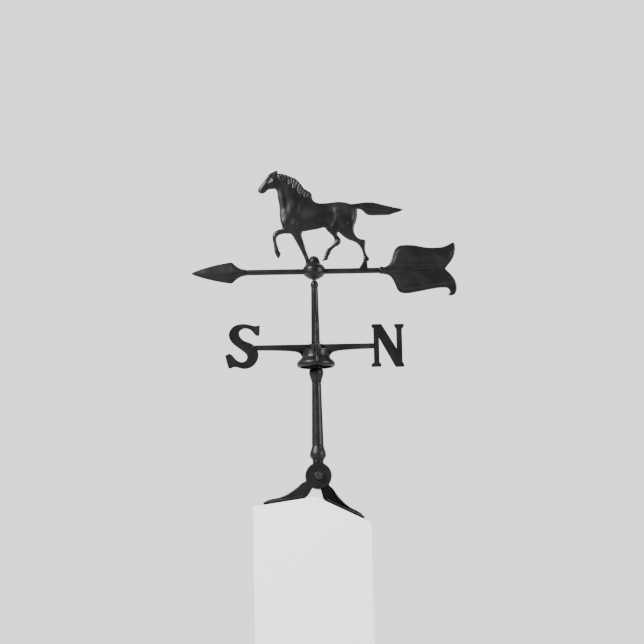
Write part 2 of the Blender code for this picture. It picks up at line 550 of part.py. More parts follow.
def add_arrow(axis):
    front_rod = turned("front_rod", shaft_profile(POINT_BASE))
    front = add_piece("front_shaft", front_rod, axis, CAST_BLACK, turn=(0, -90, 0))
    point = add_piece("arrow_point", spear_head("spear"), axis, CAST_BLACK)
    spigot_way = (-POINT_BASE - SPIGOT_LENGTH - 1, -POINT_BASE + 5)
    cut(point, cylinder("point_bore", SPIGOT_RADIUS + GAP, *spigot_way, "X"))

    rear_rod = turned("rear_rod", shaft_profile(TAIL_BASE))
    rear = add_piece("rear_shaft", rear_rod, axis, CAST_BLACK, turn=(0, 90, 0))
    tail = add_piece("arrow_tail", plate("tulip", tulip_outline(), 7.0), axis, CAST_BLACK)
    boss = [(0, 232), (1.5, 230), (8.2, 176), (8.2, TAIL_BASE), (0, TAIL_BASE)]
    join(tail, turned("boss", boss, 24), turn=(0, 90, 0))
    cut(tail, cylinder("tail_bore", SPIGOT_RADIUS + GAP, TAIL_BASE - 5, TAIL_BASE + SPIGOT_LENGTH + 1, "X"))
    add_cross_pin("point_pin", axis, (-168, 0), 1.25, 6.8, [point, front])
    add_cross_pin("tail_pin", axis, (164, 0), 1.25, 7.6, [tail, rear])


def add_cross_pin(name, axis, place, radius, reach, held):
    """A pin along Y through the pieces that it holds."""
    x, z = place
    for piece in held:
        hole = cylinder(name + "_hole", radius + GAP, -30, 30, "Y")
        to_piece = Matrix.Translation((x * MM, 0, z * MM))
        turn = piece.rotation_euler.to_matrix().to_4x4()
        hole.transform(turn.inverted() @ to_piece)
        cut(piece, hole)
    add_piece(name, cylinder("pin", radius, -reach, reach, "Y"), axis, STEEL, (x, 0, z))


def add_horse(axis):
    horse = add_piece("horse_figure", plate("horse", horse_outline(), HORSE_THICKNESS), axis, CAST_BLACK)
    cut(horse, cylinder("front_pin_hole", 1.5 + GAP, -30, 30, "Y"), (-14.8, 0, 16))
    cut(horse, cylinder("rear_pin_hole", 1.5 + GAP, -30, 30, "Y"), (117.6, 0, 13))
    add_piece("front_foot_pin", cylinder("pin", 1.5, -9.5, 9.5, "Y"), axis, STEEL, (-14.8, 0, 16))
    add_piece("rear_foot_pin", cylinder("pin", 1.5, -6.8, 6.8, "Y"), axis, STEEL, (117.6, 0, 13))

    block = [(104, 3, CORNER), (105.5, 8), (109, 13), (112, 19.5, CORNER), (123, 19.5, CORNER),
             (123.3, 11), (124.5, 3, CORNER)]
    saddle = add_piece("rear_saddle", plate("block", block, 15.0), axis, CAST_BLACK)
    cut(saddle, cylinder("shaft_seat", SHAFT_RADIUS + GAP, 90, 140, "X", ROUND))
    cut(saddle, box("rear_slot", (113.4, -HORSE_THICKNESS / 2 - GAP, 8.7),
                    (121.8, HORSE_THICKNESS / 2 + GAP, 30)))
    cut(saddle, cylinder("rear_pin_hole", 1.5 + GAP, -30, 30, "Y"), (117.6, 0, 13))

    rear_shaft = bpy.data.objects["rear_shaft"]
    screw = add_piece("saddle_screw", cylinder("shank", 1.5, -5, 10.8), axis, STEEL, (SADDLE_SCREW_X, 0, 0))
    join(screw, cylinder("head", 2.9, -6.1, -3.4, tip_radius=1.5))
    cut(saddle, cylinder("saddle_screw_hole", 1.5 + GAP, 0, 11.1), (SADDLE_SCREW_X, 0, 0))
    screw_way = cylinder("screw_way", 1.5 + GAP, -10, 10, "X")
    cut(rear_shaft, screw_way, (0, 0, SADDLE_SCREW_X))
    head_way = cylinder("head_way", 2.9 + GAP, 3.1, 10, "X")
    cut(rear_shaft, head_way, (0, 0, SADDLE_SCREW_X))


# ---------------------------------------------------------------- assembly

clear_scene()
PARTS = new_collection("weather_vane")
CUTTERS = new_collection("cutters")

mast_axis = new_axis("mast_axis", 0)
left_leg_axis = new_axis("left_leg_axis", 0)
right_leg_axis = new_axis("right_leg_axis", 0)
compass_axis = new_axis("compass_axis", ARM_HEIGHT)
vane_axis = new_axis("vane_axis", ARROW_HEIGHT)

add_roof_mount(mast_axis, left_leg_axis, right_leg_axis)
add_pivot_bolt(mast_axis)
add_mast(mast_axis)
add_compass(compass_axis)
add_hub(vane_axis)
add_arrow(vane_axis)
add_horse(vane_axis)
bpy.context.view_layer.update()
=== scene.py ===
"""The looks of a roof weather vane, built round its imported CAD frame.

Pieces are modelled in millimetres round the axis that they turn on, then placed in the frame's metres.
The arrow and the north-south bar lie along X, with the arrow's point and the S at -X.
"""

import json
import math

import bmesh
import bpy
import numpy as np
from mathutils import Matrix, Vector
from mathutils.geometry import delaunay_2d_cdt

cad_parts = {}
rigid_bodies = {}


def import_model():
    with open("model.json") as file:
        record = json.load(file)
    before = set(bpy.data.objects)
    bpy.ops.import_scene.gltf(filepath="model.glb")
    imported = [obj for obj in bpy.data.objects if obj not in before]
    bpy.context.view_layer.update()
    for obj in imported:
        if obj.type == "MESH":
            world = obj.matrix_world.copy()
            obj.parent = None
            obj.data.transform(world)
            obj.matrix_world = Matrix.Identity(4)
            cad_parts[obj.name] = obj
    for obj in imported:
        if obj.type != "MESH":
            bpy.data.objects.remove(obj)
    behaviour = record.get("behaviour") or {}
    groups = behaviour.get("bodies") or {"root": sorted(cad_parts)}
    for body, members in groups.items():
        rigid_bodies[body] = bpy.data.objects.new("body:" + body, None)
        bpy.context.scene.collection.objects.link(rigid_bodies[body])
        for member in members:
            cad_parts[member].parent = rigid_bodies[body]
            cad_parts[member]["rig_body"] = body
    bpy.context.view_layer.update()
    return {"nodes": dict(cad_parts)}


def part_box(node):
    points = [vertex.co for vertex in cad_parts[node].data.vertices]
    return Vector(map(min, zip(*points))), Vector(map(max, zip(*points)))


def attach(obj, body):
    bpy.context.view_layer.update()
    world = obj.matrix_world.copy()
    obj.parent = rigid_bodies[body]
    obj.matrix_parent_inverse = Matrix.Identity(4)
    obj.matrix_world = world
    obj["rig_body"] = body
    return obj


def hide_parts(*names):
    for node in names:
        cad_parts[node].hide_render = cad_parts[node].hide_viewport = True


MM = 0.001
CORNER = "corner"         # marks an outline point with straight sides; the other points are smooth

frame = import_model()


# ---------------- places taken from the frame

def middle_of(node):
    low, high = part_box(node)
    return (low + high) / 2


BELL_TOP = -7.3           # mm from the arms' axis to the bell's top face
BELL_NECK = 31.3          # radius of the bell's neck
BELL_FOOT = -52.4
LETTER_START = 127.0      # mast axis to the inner edge of N and E
LETTER_SIZE = 1.03        # the letters against their drawn size
PIVOT = middle_of("pivot_nut").z
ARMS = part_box("directional_bell")[1].z - BELL_TOP * MM
ARROW = middle_of("front_shaft").z
AT_PIVOT = Matrix.Translation((0, 0, PIVOT))
AT_ARMS = Matrix.Translation((0, 0, ARMS))
AT_ARROW = Matrix.Translation((0, 0, ARROW))

ROD_BORE = 5.2            # radius of every bore round the spindle rod
SCREW_HOLE = 2.8          # radius of the set screws' holes
SHAFT_RADIUS = 6.35
HORSE_TENON = 3.9         # half the thickness of the hooves' tenons
EAR_RADIUS = 30.0
BOLT_HOLE = 5.3
LUG_HALF = 8.0
EAR_MIDDLE = 11.8         # mast axis to the middle of a leg's ear
SOLE_DROP = 47.2          # pivot down to the sole of a level leg
LEFT_PITCH = math.radians(8)
RIGHT_PITCH = math.radians(26)


# ---------------- outlines

def curve_points(points, steps, closed=True):
    """The points along a smooth outline; steps divides each stretch between two given points."""
    curve = bpy.data.curves.new("outline", "CURVE")
    curve.dimensions = "2D"
    curve.fill_mode = "NONE"
    spline = curve.splines.new("BEZIER")
    spline.bezier_points.add(len(points) - 1)
    spline.use_cyclic_u = closed
    spline.resolution_u = steps
    for knot, (x, z, *kind) in zip(spline.bezier_points, points):
        knot.co = (x, z, 0)
        handle = "VECTOR" if CORNER in kind else "AUTO"
        knot.handle_left_type = handle
        knot.handle_right_type = handle
    mesh = evaluated_mesh(bpy.data.objects.new("outline", curve))
    return np.array([vert.co[:2] for vert in mesh.vertices])


def link(obj):
    bpy.context.scene.collection.objects.link(obj)


def evaluated_mesh(obj):
    """An object's mesh with its modifiers applied; the object is removed."""
    link(obj)
    graph = bpy.context.evaluated_depsgraph_get()
    mesh = bpy.data.meshes.new_from_object(obj.evaluated_get(graph))
    bpy.data.objects.remove(obj, do_unlink=True)
    return mesh


def corners(points):
    return [(x, z, CORNER) for x, z in points]


def thinned(line, outline, gap):
    """A closed line without the points that crowd closer than gap; its corners stay."""
    fixed = np.array([point[:2] for point in outline if CORNER in point] or [(1e6, 1e6)])
    kept = [line[0]]
    for point in line[1:]:
        at_corner = np.abs(fixed - point).sum(1).min() < 0.01
        if at_corner and np.linalg.norm(point - kept[-1]) < gap * 0.6 and len(kept) > 1:
            kept.pop()
        if at_corner or np.linalg.norm(point - kept[-1]) > gap:
            kept.append(point)
    if np.linalg.norm(kept[-1] - kept[0]) < gap * 0.6:
        kept.pop()
    return np.array(kept)


def nearest(points, line):
    """For each point, its distance to a line of points, how far along it is, and its side (1 is left)."""
    start, run = line[:-1], np.diff(line, axis=0)
    length = np.maximum(np.linalg.norm(run, axis=1), 1e-9)
    along = np.concatenate([[0], np.cumsum(length)[:-1]])
    best = np.full(len(points), 1e9)
    place = np.zeros(len(points))
    side = np.ones(len(points))
    for origin, vector, size, before in zip(start, run, length, along):
        offset = points - origin
        share = np.clip(offset @ vector / size ** 2, 0, 1)
        gap = np.linalg.norm(offset - share[:, None] * vector, axis=1)
        nearer = gap < best
        best[nearer] = gap[nearer]
        place[nearer] = before + share[nearer] * size
        side[nearer] = np.sign(vector[0] * offset[nearer, 1] - vector[1] * offset[nearer, 0])
    return best, place, side


def looped(line):
    return np.vstack([line, line[:1]])


def inside(points, line):
    """Which points lie inside a closed line."""
    result = np.zeros(len(points), bool)
    for (x0, z0), (x1, z1) in zip(line, np.roll(line, -1, axis=0)):
        crosses = (z0 > points[:, 1]) != (z1 > points[:, 1])
        if z0 != z1:
            reach = x0 + (points[:, 1] - z0) * (x1 - x0) / (z1 - z0)
            result ^= crosses & (points[:, 0] < reach)
    return result


# ---------------- shapes

def relief(name, outline, half_thickness, spacing, rings, rim_gap, steps=8, fine_zone=None):
    """A two-sided casting in the XZ plane, whose half thickness is a function of place and depth.

    Depth is the distance to the outline. Rings are depths where a row of points follows the outline.
    In the fine zone, a function of the points, the spacing is halved.
    """
    line = thinned(curve_points(outline, steps), outline, rim_gap)
    loop = looped(line)
    inward = mitres(line)
    rows = []
    for depth in rings:
        row = line + inward * depth
        clear = inside(row, line) & (nearest(row, loop)[0] > depth * 0.93)
        rows.append(row[clear])
    grid = triangle_grid(line.min(0), line.max(0), spacing)
    if fine_zone:
        fine = triangle_grid(line.min(0), line.max(0), spacing / 2)
        grid = np.vstack([grid[~fine_zone(grid)], fine[fine_zone(fine)]])
    grid = grid[inside(grid, line)]
    grid = grid[nearest(grid, loop)[0] > rings[-1] + spacing * 0.6]
    flat = np.vstack([line, *rows, grid])
    count = len(line)
    edges = [(i, (i + 1) % count) for i in range(count)]
    flat, _, faces, *_ = delaunay_2d_cdt([Vector(p) for p in flat], edges, [], 1, 1e-5)
    flat = np.array([tuple(p) for p in flat])
    depth = nearest(flat, loop)[0]
    half = half_thickness(flat, depth)
    return two_sided(name, flat, half, faces)


def triangle_grid(low, high, spacing):
    columns = np.arange(low[0], high[0], spacing)
    levels = np.arange(low[1], high[1], spacing * 0.866)
    return np.array([(x + spacing / 2 * (i % 2), z) for i, z in enumerate(levels) for x in columns])


def mitres(line):
    """The way inward at each point of a closed line, longer at a corner to stay level with its sides."""
    ahead = np.roll(line, -1, axis=0) - line
    normal = np.stack([-ahead[:, 1], ahead[:, 0]], 1) / np.linalg.norm(ahead, axis=1)[:, None]
    before = np.roll(normal, 1, axis=0)
    bend = 1 + (normal * before).sum(1)
    inward = (normal + before) / np.maximum(bend, 0.25)[:, None]
    return inward if inside(line + inward * 0.01, line).mean() > 0.5 else -inward


def two_sided(name, flat, half, faces):
    """A closed mesh from flat triangles, lifted by half its thickness on both sides."""
    bm = bmesh.new()
    sides = []
    for side in (-1, 1):
        sides.append([bm.verts.new((x, side * h, z)) for (x, z), h in zip(flat, half)])
    uses = {}
    for face in faces:
        bm.faces.new([sides[0][i] for i in face])
        bm.faces.new([sides[1][i] for i in reversed(face)])
        for a, b in zip(face, face[1:] + face[:1]):
            key = (min(a, b), max(a, b))
            uses[key] = None if key in uses else (a, b)
    for pair in filter(None, uses.values()):
        a, b = pair
        bm.faces.new((sides[0][b], sides[0][a], sides[1][a], sides[1][b]))
    return mesh_from(name, bm)


def mesh_from(name, bm):
    loose = [vert for vert in bm.verts if not vert.link_faces]
    bmesh.ops.delete(bm, geom=loose, context="VERTS")
    bmesh.ops.recalc_face_normals(bm, faces=bm.faces)
    mesh = bpy.data.meshes.new(name)
    bm.to_mesh(mesh)
    bm.free()
    return mesh


def rounded(thickness, edge):
    """The half thickness of a flat plate with rounded edges."""
    def half(_, depth):
        inset = edge - np.clip(depth, 0, edge)
        return thickness / 2 - edge + np.sqrt(edge ** 2 - inset ** 2)
    return half


def plate(name, outline, thickness, edge, spacing=7.0, steps=8):
    """A flat casting in the XZ plane with rounded edges."""
    rings = (edge * 0.13, edge * 0.45, edge, edge * 1.3)
    return relief(name, outline, rounded(thickness, edge), spacing, rings, 1.2, steps)


def lathe(name, profile, sides=72, steps=5):
    """A shape turned about Z, from (radius, height) points; one that starts off the axis is a ring."""
    line = curve_points(profile, steps, closed=False)
    line[:, 0] = np.maximum(line[:, 0], 0)
    if profile[0][0] > 0:
        line = looped(line)
    bm = bmesh.new()
    verts = [bm.verts.new((radius, 0, height)) for radius, height in line]
    edges = [bm.edges.new(pair) for pair in zip(verts, verts[1:])]
    bmesh.ops.spin(bm, geom=verts + edges, cent=(0, 0, 0), axis=(0, 0, 1), angle=math.tau,
                   steps=sides, use_merge=True)
    bmesh.ops.remove_doubles(bm, verts=bm.verts, dist=0.001)
    return mesh_from(name, bm)


def turned_to(mesh, axis):
    """A mesh made along Z, laid along X or Y; its top then points to +X or +Y."""
    if axis == "X":
        mesh.transform(Matrix.Rotation(math.pi / 2, 4, "Y"))
    if axis == "Y":
        mesh.transform(Matrix.Rotation(-math.pi / 2, 4, "X"))
    return mesh


def half_turned(mesh, axis):
    mesh.transform(Matrix.Rotation(math.pi, 4, axis))
    return mesh


def moved(mesh, x=0.0, y=0.0, z=0.0):
    mesh.transform(Matrix.Translation((x, y, z)))
    return mesh


def bar(radius, start, end, axis="Z", edge=0.6, sides=48):
    """A round bar with eased ends."""
    profile = corners([(0, end), (radius - edge, end), (radius, end - edge), (radius, start + edge),
                       (radius - edge, start), (0, start)])
    return turned_to(lathe("bar", profile, sides, 1), axis)


def block(low, high):
    bm = bmesh.new()
    bmesh.ops.create_cube(bm, size=1.0)
    size = Vector(high) - Vector(low)
    middle = (Vector(high) + Vector(low)) / 2
    for vert in bm.verts:
        vert.co = Vector(c * s + m for c, s, m in zip(vert.co, size, middle))
    return mesh_from("block", bm)


def joined(name, meshes):
    bm = bmesh.new()
    for mesh in meshes:
        bm.from_mesh(mesh)
    mesh = bpy.data.meshes.new(name)
    bm.to_mesh(mesh)
    bm.free()
    return mesh


def combined(mesh, tools, operation="DIFFERENCE"):
    """A mesh after boolean steps with other meshes."""
    for tool in tools:
        target = bpy.data.objects.new("target", mesh)
        cutter = bpy.data.objects.new("cutter", tool)
        link(cutter)
        step = target.modifiers.new("Boolean", "BOOLEAN")
        step.operation = operation
        step.solver = "EXACT"
        step.object = cutter
        mesh = evaluated_mesh(target)
        bpy.data.objects.remove(cutter, do_unlink=True)
    return mesh


def cast(name, meshes, voxel, rounds=4):
    """Overlapping meshes melted into one casting with soft edges and fillets."""
    obj = bpy.data.objects.new(name, joined(name, meshes))
    melt = obj.modifiers.new("Remesh", "REMESH")
    melt.mode = "VOXEL"
    melt.voxel_size = voxel
    ease = obj.modifiers.new("Smooth", "SMOOTH")
    ease.iterations = rounds
    return evaluated_mesh(obj)


def show(name, mesh, place, finish, node, sharp=40.0):
    """Puts a mesh made in millimetres in its place, on the body of the CAD node that it replaces."""
    slot, material = finish
    mesh.transform(place @ Matrix.Scale(MM, 4))
    mesh.shade_smooth()
    mesh.set_sharp_from_angle(angle=math.radians(sharp))
    mesh.materials.clear()
    mesh.materials.append(material)
    piece = bpy.data.objects.new(name, mesh)
    link(piece)
    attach(piece, frame["nodes"][node]["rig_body"])
    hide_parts(node)


# ---------------- materials

class Nodes:
    """Adds shader nodes to a material and joins them."""

    def __init__(self, name):
        self.material = bpy.data.materials.new(name)
        self.material.use_nodes = True
        self.tree = self.material.node_tree
        self.shader = self.tree.nodes["Principled BSDF"]
        self.where = self.add("ShaderNodeTexCoord").outputs["Object"]

    def add(self, kind, links=(), **settings):
        node = self.tree.nodes.new(kind)
        for key, value in settings.items():
            setattr(node, key, value)
        for socket, source in dict(links).items():
            self.join(source, node.inputs[socket])
        return node

    def join(self, source, socket):
        if hasattr(source, "node"):
            self.tree.links.new(source, socket)
        else:
            socket.default_value = source

    def noise(self, size_mm, detail=3.0, roughness=0.5):
        links = {"Vector": self.where, "Scale": 1 / (size_mm * MM), "Detail": detail,
                 "Roughness": roughness}
        return self.add("ShaderNodeTexNoise", links).outputs["Fac"]

    def spread(self, value, low, high, to_low=0.0, to_high=1.0):
        links = {"Value": value, "From Min": low, "From Max": high, "To Min": to_low, "To Max": to_high}
        return self.add("ShaderNodeMapRange", links).outputs["Result"]

    def plus(self, first, second):
        return self.add("ShaderNodeMath", {0: first, 1: second}, operation="ADD").outputs[0]

    def times(self, first, second):
        return self.add("ShaderNodeMath", {0: first, 1: second}, operation="MULTIPLY").outputs[0]

    def blend(self, share, first, second):
        node = self.add("ShaderNodeMix", data_type="RGBA")
        self.join(share, node.inputs["Factor"])
        for socket, colour in ((6, first), (7, second)):
            self.join((*colour, 1.0) if isinstance(colour, tuple) else colour, node.inputs[socket])
        return node.outputs[2]

    def bump(self, height, depth_mm, under=None):
        links = {"Height": height, "Strength": 1.0, "Distance": depth_mm * MM}
        if under:
            links["Normal"] = under
        return self.add("ShaderNodeBump", links).outputs["Normal"]

    def finish(self, colour, roughness, normal, metallic=0.0, specular=0.5):
        self.join(colour, self.shader.inputs["Base Color"])
        self.join(roughness, self.shader.inputs["Roughness"])
        self.join(normal, self.shader.inputs["Normal"])
        self.shader.inputs["Metallic"].default_value = metallic
        self.shader.inputs["Specular IOR Level"].default_value = specular
        return self.material


def cast_black():
    """Satin black paint on sand-cast metal: fine stipple, faded patches, dull dusty tops, rubbed edges."""
    make = Nodes("cast_black")
    geometry = make.add("ShaderNodeNewGeometry")
    normal = make.add("ShaderNodeSeparateXYZ", {0: geometry.outputs["Normal"]})
    clouds = make.noise(45, 4)
    grime = make.noise(9, 5, 0.6)
    sand = make.noise(1.7, 3)
    stipple = make.noise(0.6, 2)
    faded = make.spread(clouds, 0.42, 0.7)
    colour = make.blend(faded, (0.0022, 0.0022, 0.0027), (0.0055, 0.0053, 0.0053))
    upward = make.spread(normal.outputs["Z"], 0.45, 1.0)
    dust = make.times(upward, make.spread(grime, 0.44, 0.70, 0.0, 0.4))
    colour = make.blend(dust, colour, (0.020, 0.018, 0.016))
    eased = make.add("ShaderNodeBevel", {"Radius": 1.0 * MM}, samples=4)
    links = {0: eased.outputs["Normal"], 1: geometry.outputs["Normal"]}
    facing = make.add("ShaderNodeVectorMath", links, operation="DOT_PRODUCT").outputs["Value"]
    edge = make.spread(facing, 0.985, 0.86)
    rubbed = make.times(edge, make.spread(grime, 0.48, 0.62, 0.0, 0.7))
    colour = make.blend(rubbed, colour, (0.036, 0.035, 0.034))
    roughness = make.spread(clouds, 0.3, 0.7, 0.36, 0.46)
    roughness = make.plus(roughness, make.spread(grime, 0.3, 0.7, -0.05, 0.05))
    roughness = make.plus(roughness, make.times(dust, 0.5))
    roughness = make.plus(roughness, make.times(upward, 0.2))
    surface = make.bump(make.noise(6, 3), 0.10)
    surface = make.bump(sand, 0.045, surface)
    surface = make.bump(stipple, 0.018, surface)
    return "cast_black", make.finish(colour, roughness, surface, specular=0.16)


def dark_steel():
    """Oiled dark steel with a fine grain and brown stains."""
    make = Nodes("dark_steel")
    stain = make.noise(3.5, 5, 0.65)
    fine = make.noise(0.35, 3)
    colour = make.blend(make.spread(fine, 0.3, 0.7), (0.024, 0.024, 0.026), (0.050, 0.050, 0.053))
    colour = make.blend(make.spread(stain, 0.55, 0.72, 0.0, 0.7), colour, (0.030, 0.021, 0.015))
    roughness = make.spread(stain, 0.3, 0.7, 0.28, 0.52)
    surface = make.bump(fine, 0.012)
    return "steel", make.finish(colour, roughness, surface, metallic=1.0)


def worn_nylon():
    """Greyed nylon with fine scuffs."""
    make = Nodes("worn_nylon")
    scuff = make.noise(1.2, 4, 0.6)
    colour = make.blend(make.spread(scuff, 0.4, 0.7), (0.62, 0.60, 0.55), (0.44, 0.42, 0.38))
    roughness = make.spread(scuff, 0.3, 0.7, 0.45, 0.62)
    return "nylon", make.finish(colour, roughness, make.bump(scuff, 0.02))


def pale_plaster(name, colour):
    """The stage's plain matt surface."""
    make = Nodes(name)
    drift = make.noise(160, 3)
    grain = make.noise(2.5, 3)
    light = tuple(channel * 1.03 for channel in colour)
    paint = make.blend(make.spread(drift, 0.3, 0.7), colour, light)
    roughness = make.spread(drift, 0.3, 0.7, 0.72, 0.8)
    return make.finish(paint, roughness, make.bump(grain, 0.04), specular=0.3)


BLACK = cast_black()
STEEL = dark_steel()
NYLON = worn_nylon()


# ---------------- horse

CREST = [(-82, 233), (-62, 229.5), (-42, 221), (-25, 204), (-12, 190), (2, 174)]
LOCK = 8.2                # how far apart the mane's locks lie
TAIL_TOP = [(97, 157), (107, 158.5), (119, 160), (132, 160), (142, 159), (154, 156), (177, 150),
            (200, 144.5), (209.5, 141.5)]
TAIL_UNDER = [(97, 145), (110, 144), (117, 139), (123, 133), (134, 129.5), (150, 129.5), (164, 129.5),
              (177, 130), (189, 134), (199, 136.5), (209.5, 141.5)]

HORSE_OUTLINE = [
    # muzzle, forehead and ear
    (-126, 192), (-124, 198), (-118, 206), (-111, 215), (-105, 223), (-101, 229), (-96, 232.5),
    (-90, 235.5), (-81.5, 239.5, CORNER), (-79.5, 231.5, CORNER),
    # mane
    (-70.5, 231), (-60.5, 228.5), (-45.5, 222), (-38.5, 219), (-32.5, 212.5), (-26.5, 206), (-22, 199),
    (-18.5, 195), (-11.5, 190.5), (-4.5, 185), (-1.5, 180),
    # back
    (-1.5, 173), (0.5, 168), (5.5, 163), (12, 160.5), (26, 159.5), (40, 160.5), (54, 162), (66, 162),
    (76, 160.5), (89, 157), (97, 157, CORNER),
    # tail
    (107, 158.5), (119, 160), (132, 160), (142, 159), (154, 156), (164, 153), (177, 150), (188, 147),
    (200, 144.5), (209.5, 141.5, CORNER), (199, 136.5), (189, 134), (177, 130), (164, 129.5),
    (150, 129.5), (134, 129.5), (128, 130.5), (123, 133), (117, 139), (110, 144), (102.5, 145, CORNER),
    # standing hind leg and its tenon
    (102.5, 137.5), (102, 126), (99.5, 116), (95.5, 107.5), (94, 100), (94.5, 90), (97, 84), (100.5, 79),
    (107, 74.5), (118, 72), (120, 69), (119.5, 61), (118.7, 50), (120.5, 41), (123.7, 34),
    (127.5, 29, CORNER), (127.8, 25), (123.5, 21.5, CORNER), (121.5, 21, CORNER), (121.5, 9, CORNER),
    (113.7, 9, CORNER), (113.7, 20, CORNER), (114.6, 32.5), (113.7, 40), (111, 50), (107, 57.5),
    (100.3, 64.5), (91.8, 69.5), (82, 73), (74.3, 77.5), (68, 82.5), (62, 88.5), (57.5, 92, CORNER),
    # raised hind leg
    (55.8, 87.5), (57.3, 81.5), (61.2, 77), (63.3, 71.5), (61.8, 65), (56.8, 60), (49.3, 56.3),
    (43.7, 51.3), (40, 46.3), (38, 41.3), (35, 36.3), (33.5, 33), (32.3, 27.3, CORNER), (26.8, 25.6),
    (19.4, 24, CORNER), (21.6, 29), (23.7, 35), (26.5, 43.3), (30, 50.4), (37, 56), (43.4, 61.5),
    (47.7, 67.3), (48.3, 74.3), (45.5, 81.4), (39.2, 88.4), (32, 95.5), (28.6, 101), (25, 102.5),
    # belly
    (19.4, 101.8), (11, 99.7), (-1.7, 97.6), (-14.4, 95.5), (-24.5, 94, CORNER),
    # standing foreleg and its tenon
    (-26.8, 87), (-24.3, 74.3), (-20.8, 61.6), (-17.2, 47.5), (-13.7, 37.7), (-11.6, 32, CORNER),
    (-11.2, 12, CORNER), (-18.5, 12, CORNER), (-18.6, 22, CORNER), (-20.7, 29), (-24.3, 37.7),
    (-28.5, 47.5), (-34, 58.8), (-39.8, 70), (-45.4, 80), (-49.7, 87), (-52.5, 89.5, CORNER),
    # raised foreleg
    (-65.2, 90), (-75, 88.4), (-81.4, 85.6), (-84.6, 81.4), (-85.6, 73), (-83.5, 63), (-80.7, 53.2),
    (-79.3, 48.2), (-75.8, 44.7, CORNER), (-77.9, 37.7), (-81.4, 31.3, CORNER), (-87, 39), (-89.9, 47.5),
    (-91.3, 57.4), (-92.7, 68.7), (-94.5, 80), (-92, 91.3), (-87.7, 95.5), (-79.3, 99.7), (-72.2, 101.8),
    # chest, throat and jaw
    (-72.5, 109.6), (-75, 118), (-76.5, 132), (-76.7, 143), (-77.2, 155), (-78.6, 166), (-80.7, 177),
    (-81.4, 186), (-83.5, 193), (-87, 195.6), (-93.4, 195.4), (-100.4, 195), (-105.4, 192), (-109, 188),
    (-113, 186), (-118.7, 185.3), (-123.7, 188)]

# muscles: centre, radii along and across, angle from +X in degrees, height
MUSCLES = [
    ((-50, 142), (32, 13), 62, 2.6), ((-66, 114), (10, 11), 0, 1.6), ((-42, 110), (17, 9), 65, 2.2),
    ((4, 122), (32, 18), 4, 1.8), ((70, 146), (25, 10), -5, 1.8), ((87, 127), (25, 8), -78, 1.8),
    ((70, 116), (23, 11), -60, 2.4), ((54, 100), (10, 8), 0, 1.4), ((98, 95), (12, 5.5), -75, 1.1),
    ((49, 85), (12, 5.5), 60, 1.0), ((-69, 166), (34, 5.5), 98, 1.5), ((-48, 178), (28, 9), 112, 1.0),
    ((-91, 208), (8.5, 8), 0, 2.0), ((-118, 190.5), (6.5, 4.5), 40, 0.9), ((-110, 206), (13, 2.4), 52, 0.9),
    ((-99, 226), (9, 3), 40, 0.7), ((-39, 84), (11, 4.5), 118, 1.1), ((-78, 93), (9, 4), 8, 0.9),
    ((-89, 82), (5, 4), 90, 1.0), ((111, 70), (6, 3.5), 20, 1.0), ((57, 69), (5, 3.5), 60, 1.0),
    ((-23, 64), (5, 3.5), 105, 0.8), ((28, 108), (14, 8), 20, 0.9), ((-20, 150), (18, 15), 0, -0.9),
    ((34, 146), (20, 10), 0, -0.8)]

# folds: the line, the side that stands proud (1 is left of the line), its height and how far it spreads
FOLDS = [
    ([(-20, 172), (-29, 158), (-34, 140), (-36, 122), (-41, 106), (-47, 93)], -1, 0.9, 13),
    ([(-66, 150), (-71, 138), (-69, 124), (-63, 112)], 1, 0.6, 9),
    ([(-57, 92), (-58, 101), (-65, 107), (-72, 107)], -1, 0.8, 8),
    ([(46, 150), (51, 136), (49, 120), (42, 107), (34, 101)], 1, 0.8, 14),
    ([(57, 92), (63, 101), (73, 106), (84, 104)], 1, 0.8, 8),
    ([(93, 148), (95, 134), (91, 120), (84, 110)], -1, 0.5, 7),
    ([(-97, 219), (-89.5, 218), (-83.5, 211), (-83.5, 202)], -1, 0.8, 6),
    ([(-103, 203), (-99, 199), (-93, 197.2), (-87, 199)], 1, 0.7, 5),
    ([(-108.5, 216), (-103.5, 222.3), (-97.5, 222.6)], -1, 0.8, 3.5)]

# grooves of the mouth, eyelids, ear, nostril and sinews: the line, half its width and its depth
GROOVES = [
    ([(-126, 190.4), (-121, 191.2), (-116, 192.6), (-112, 194.8)], 0.75, 1.1),
    ([(-108, 215.4), (-104, 214.4), (-99.6, 215.6), (-96.8, 218.2)], 0.8, 0.6),
    ([(-107.5, 217), (-103.4, 221), (-98.5, 220.8)], 0.8, 0.4),
    ([(-90, 229.5), (-86.5, 234), (-83, 237)], 1.1, 1.1),
    ([(-122.8, 194.6), (-121.6, 197.6)], 1.1, 1.3),
    ([(-92, 78), (-90, 64), (-87.5, 52)], 1.1, 0.4), ([(-33, 66), (-27, 52), (-21.5, 40)], 1.1, 0.4),
    ([(112, 62), (115.5, 50), (117.5, 40)], 1.1, 0.4), ([(52, 61), (43, 55), (34, 47), (30, 39)], 1.1, 0.4),
    # coronets, where each hoof starts
    ([(-90.5, 41), (-84, 42.5), (-77, 43.5)], 0.9, 0.8),
    ([(-22.5, 33.5), (-17, 35.2), (-12, 34.5)], 0.9, 0.8),
    ([(112.5, 33.5), (118, 33.2), (125.5, 32.4)], 0.9, 0.8), ([(22, 32.8), (28, 32), (35, 34)], 0.9, 0.8)]


def smooth_step(value, low, high):
    share = np.clip((value - low) / (high - low), 0, 1)
    return share * share * (3 - 2 * share)


def mound(points, centre, radii, angle, height):
    turn = math.radians(angle)
    offset = points - np.array(centre)
    along = offset @ np.array([math.cos(turn), math.sin(turn)])
    across = offset @ np.array([-math.sin(turn), math.cos(turn)])
    return height * np.exp(-((along / radii[0]) ** 2 + (across / radii[1]) ** 2))


def groove(points, line, width, depth):
    distance, _, _ = nearest(points, curve_points(line, 6, closed=False))
    return -depth * np.exp(-(distance / width) ** 2)


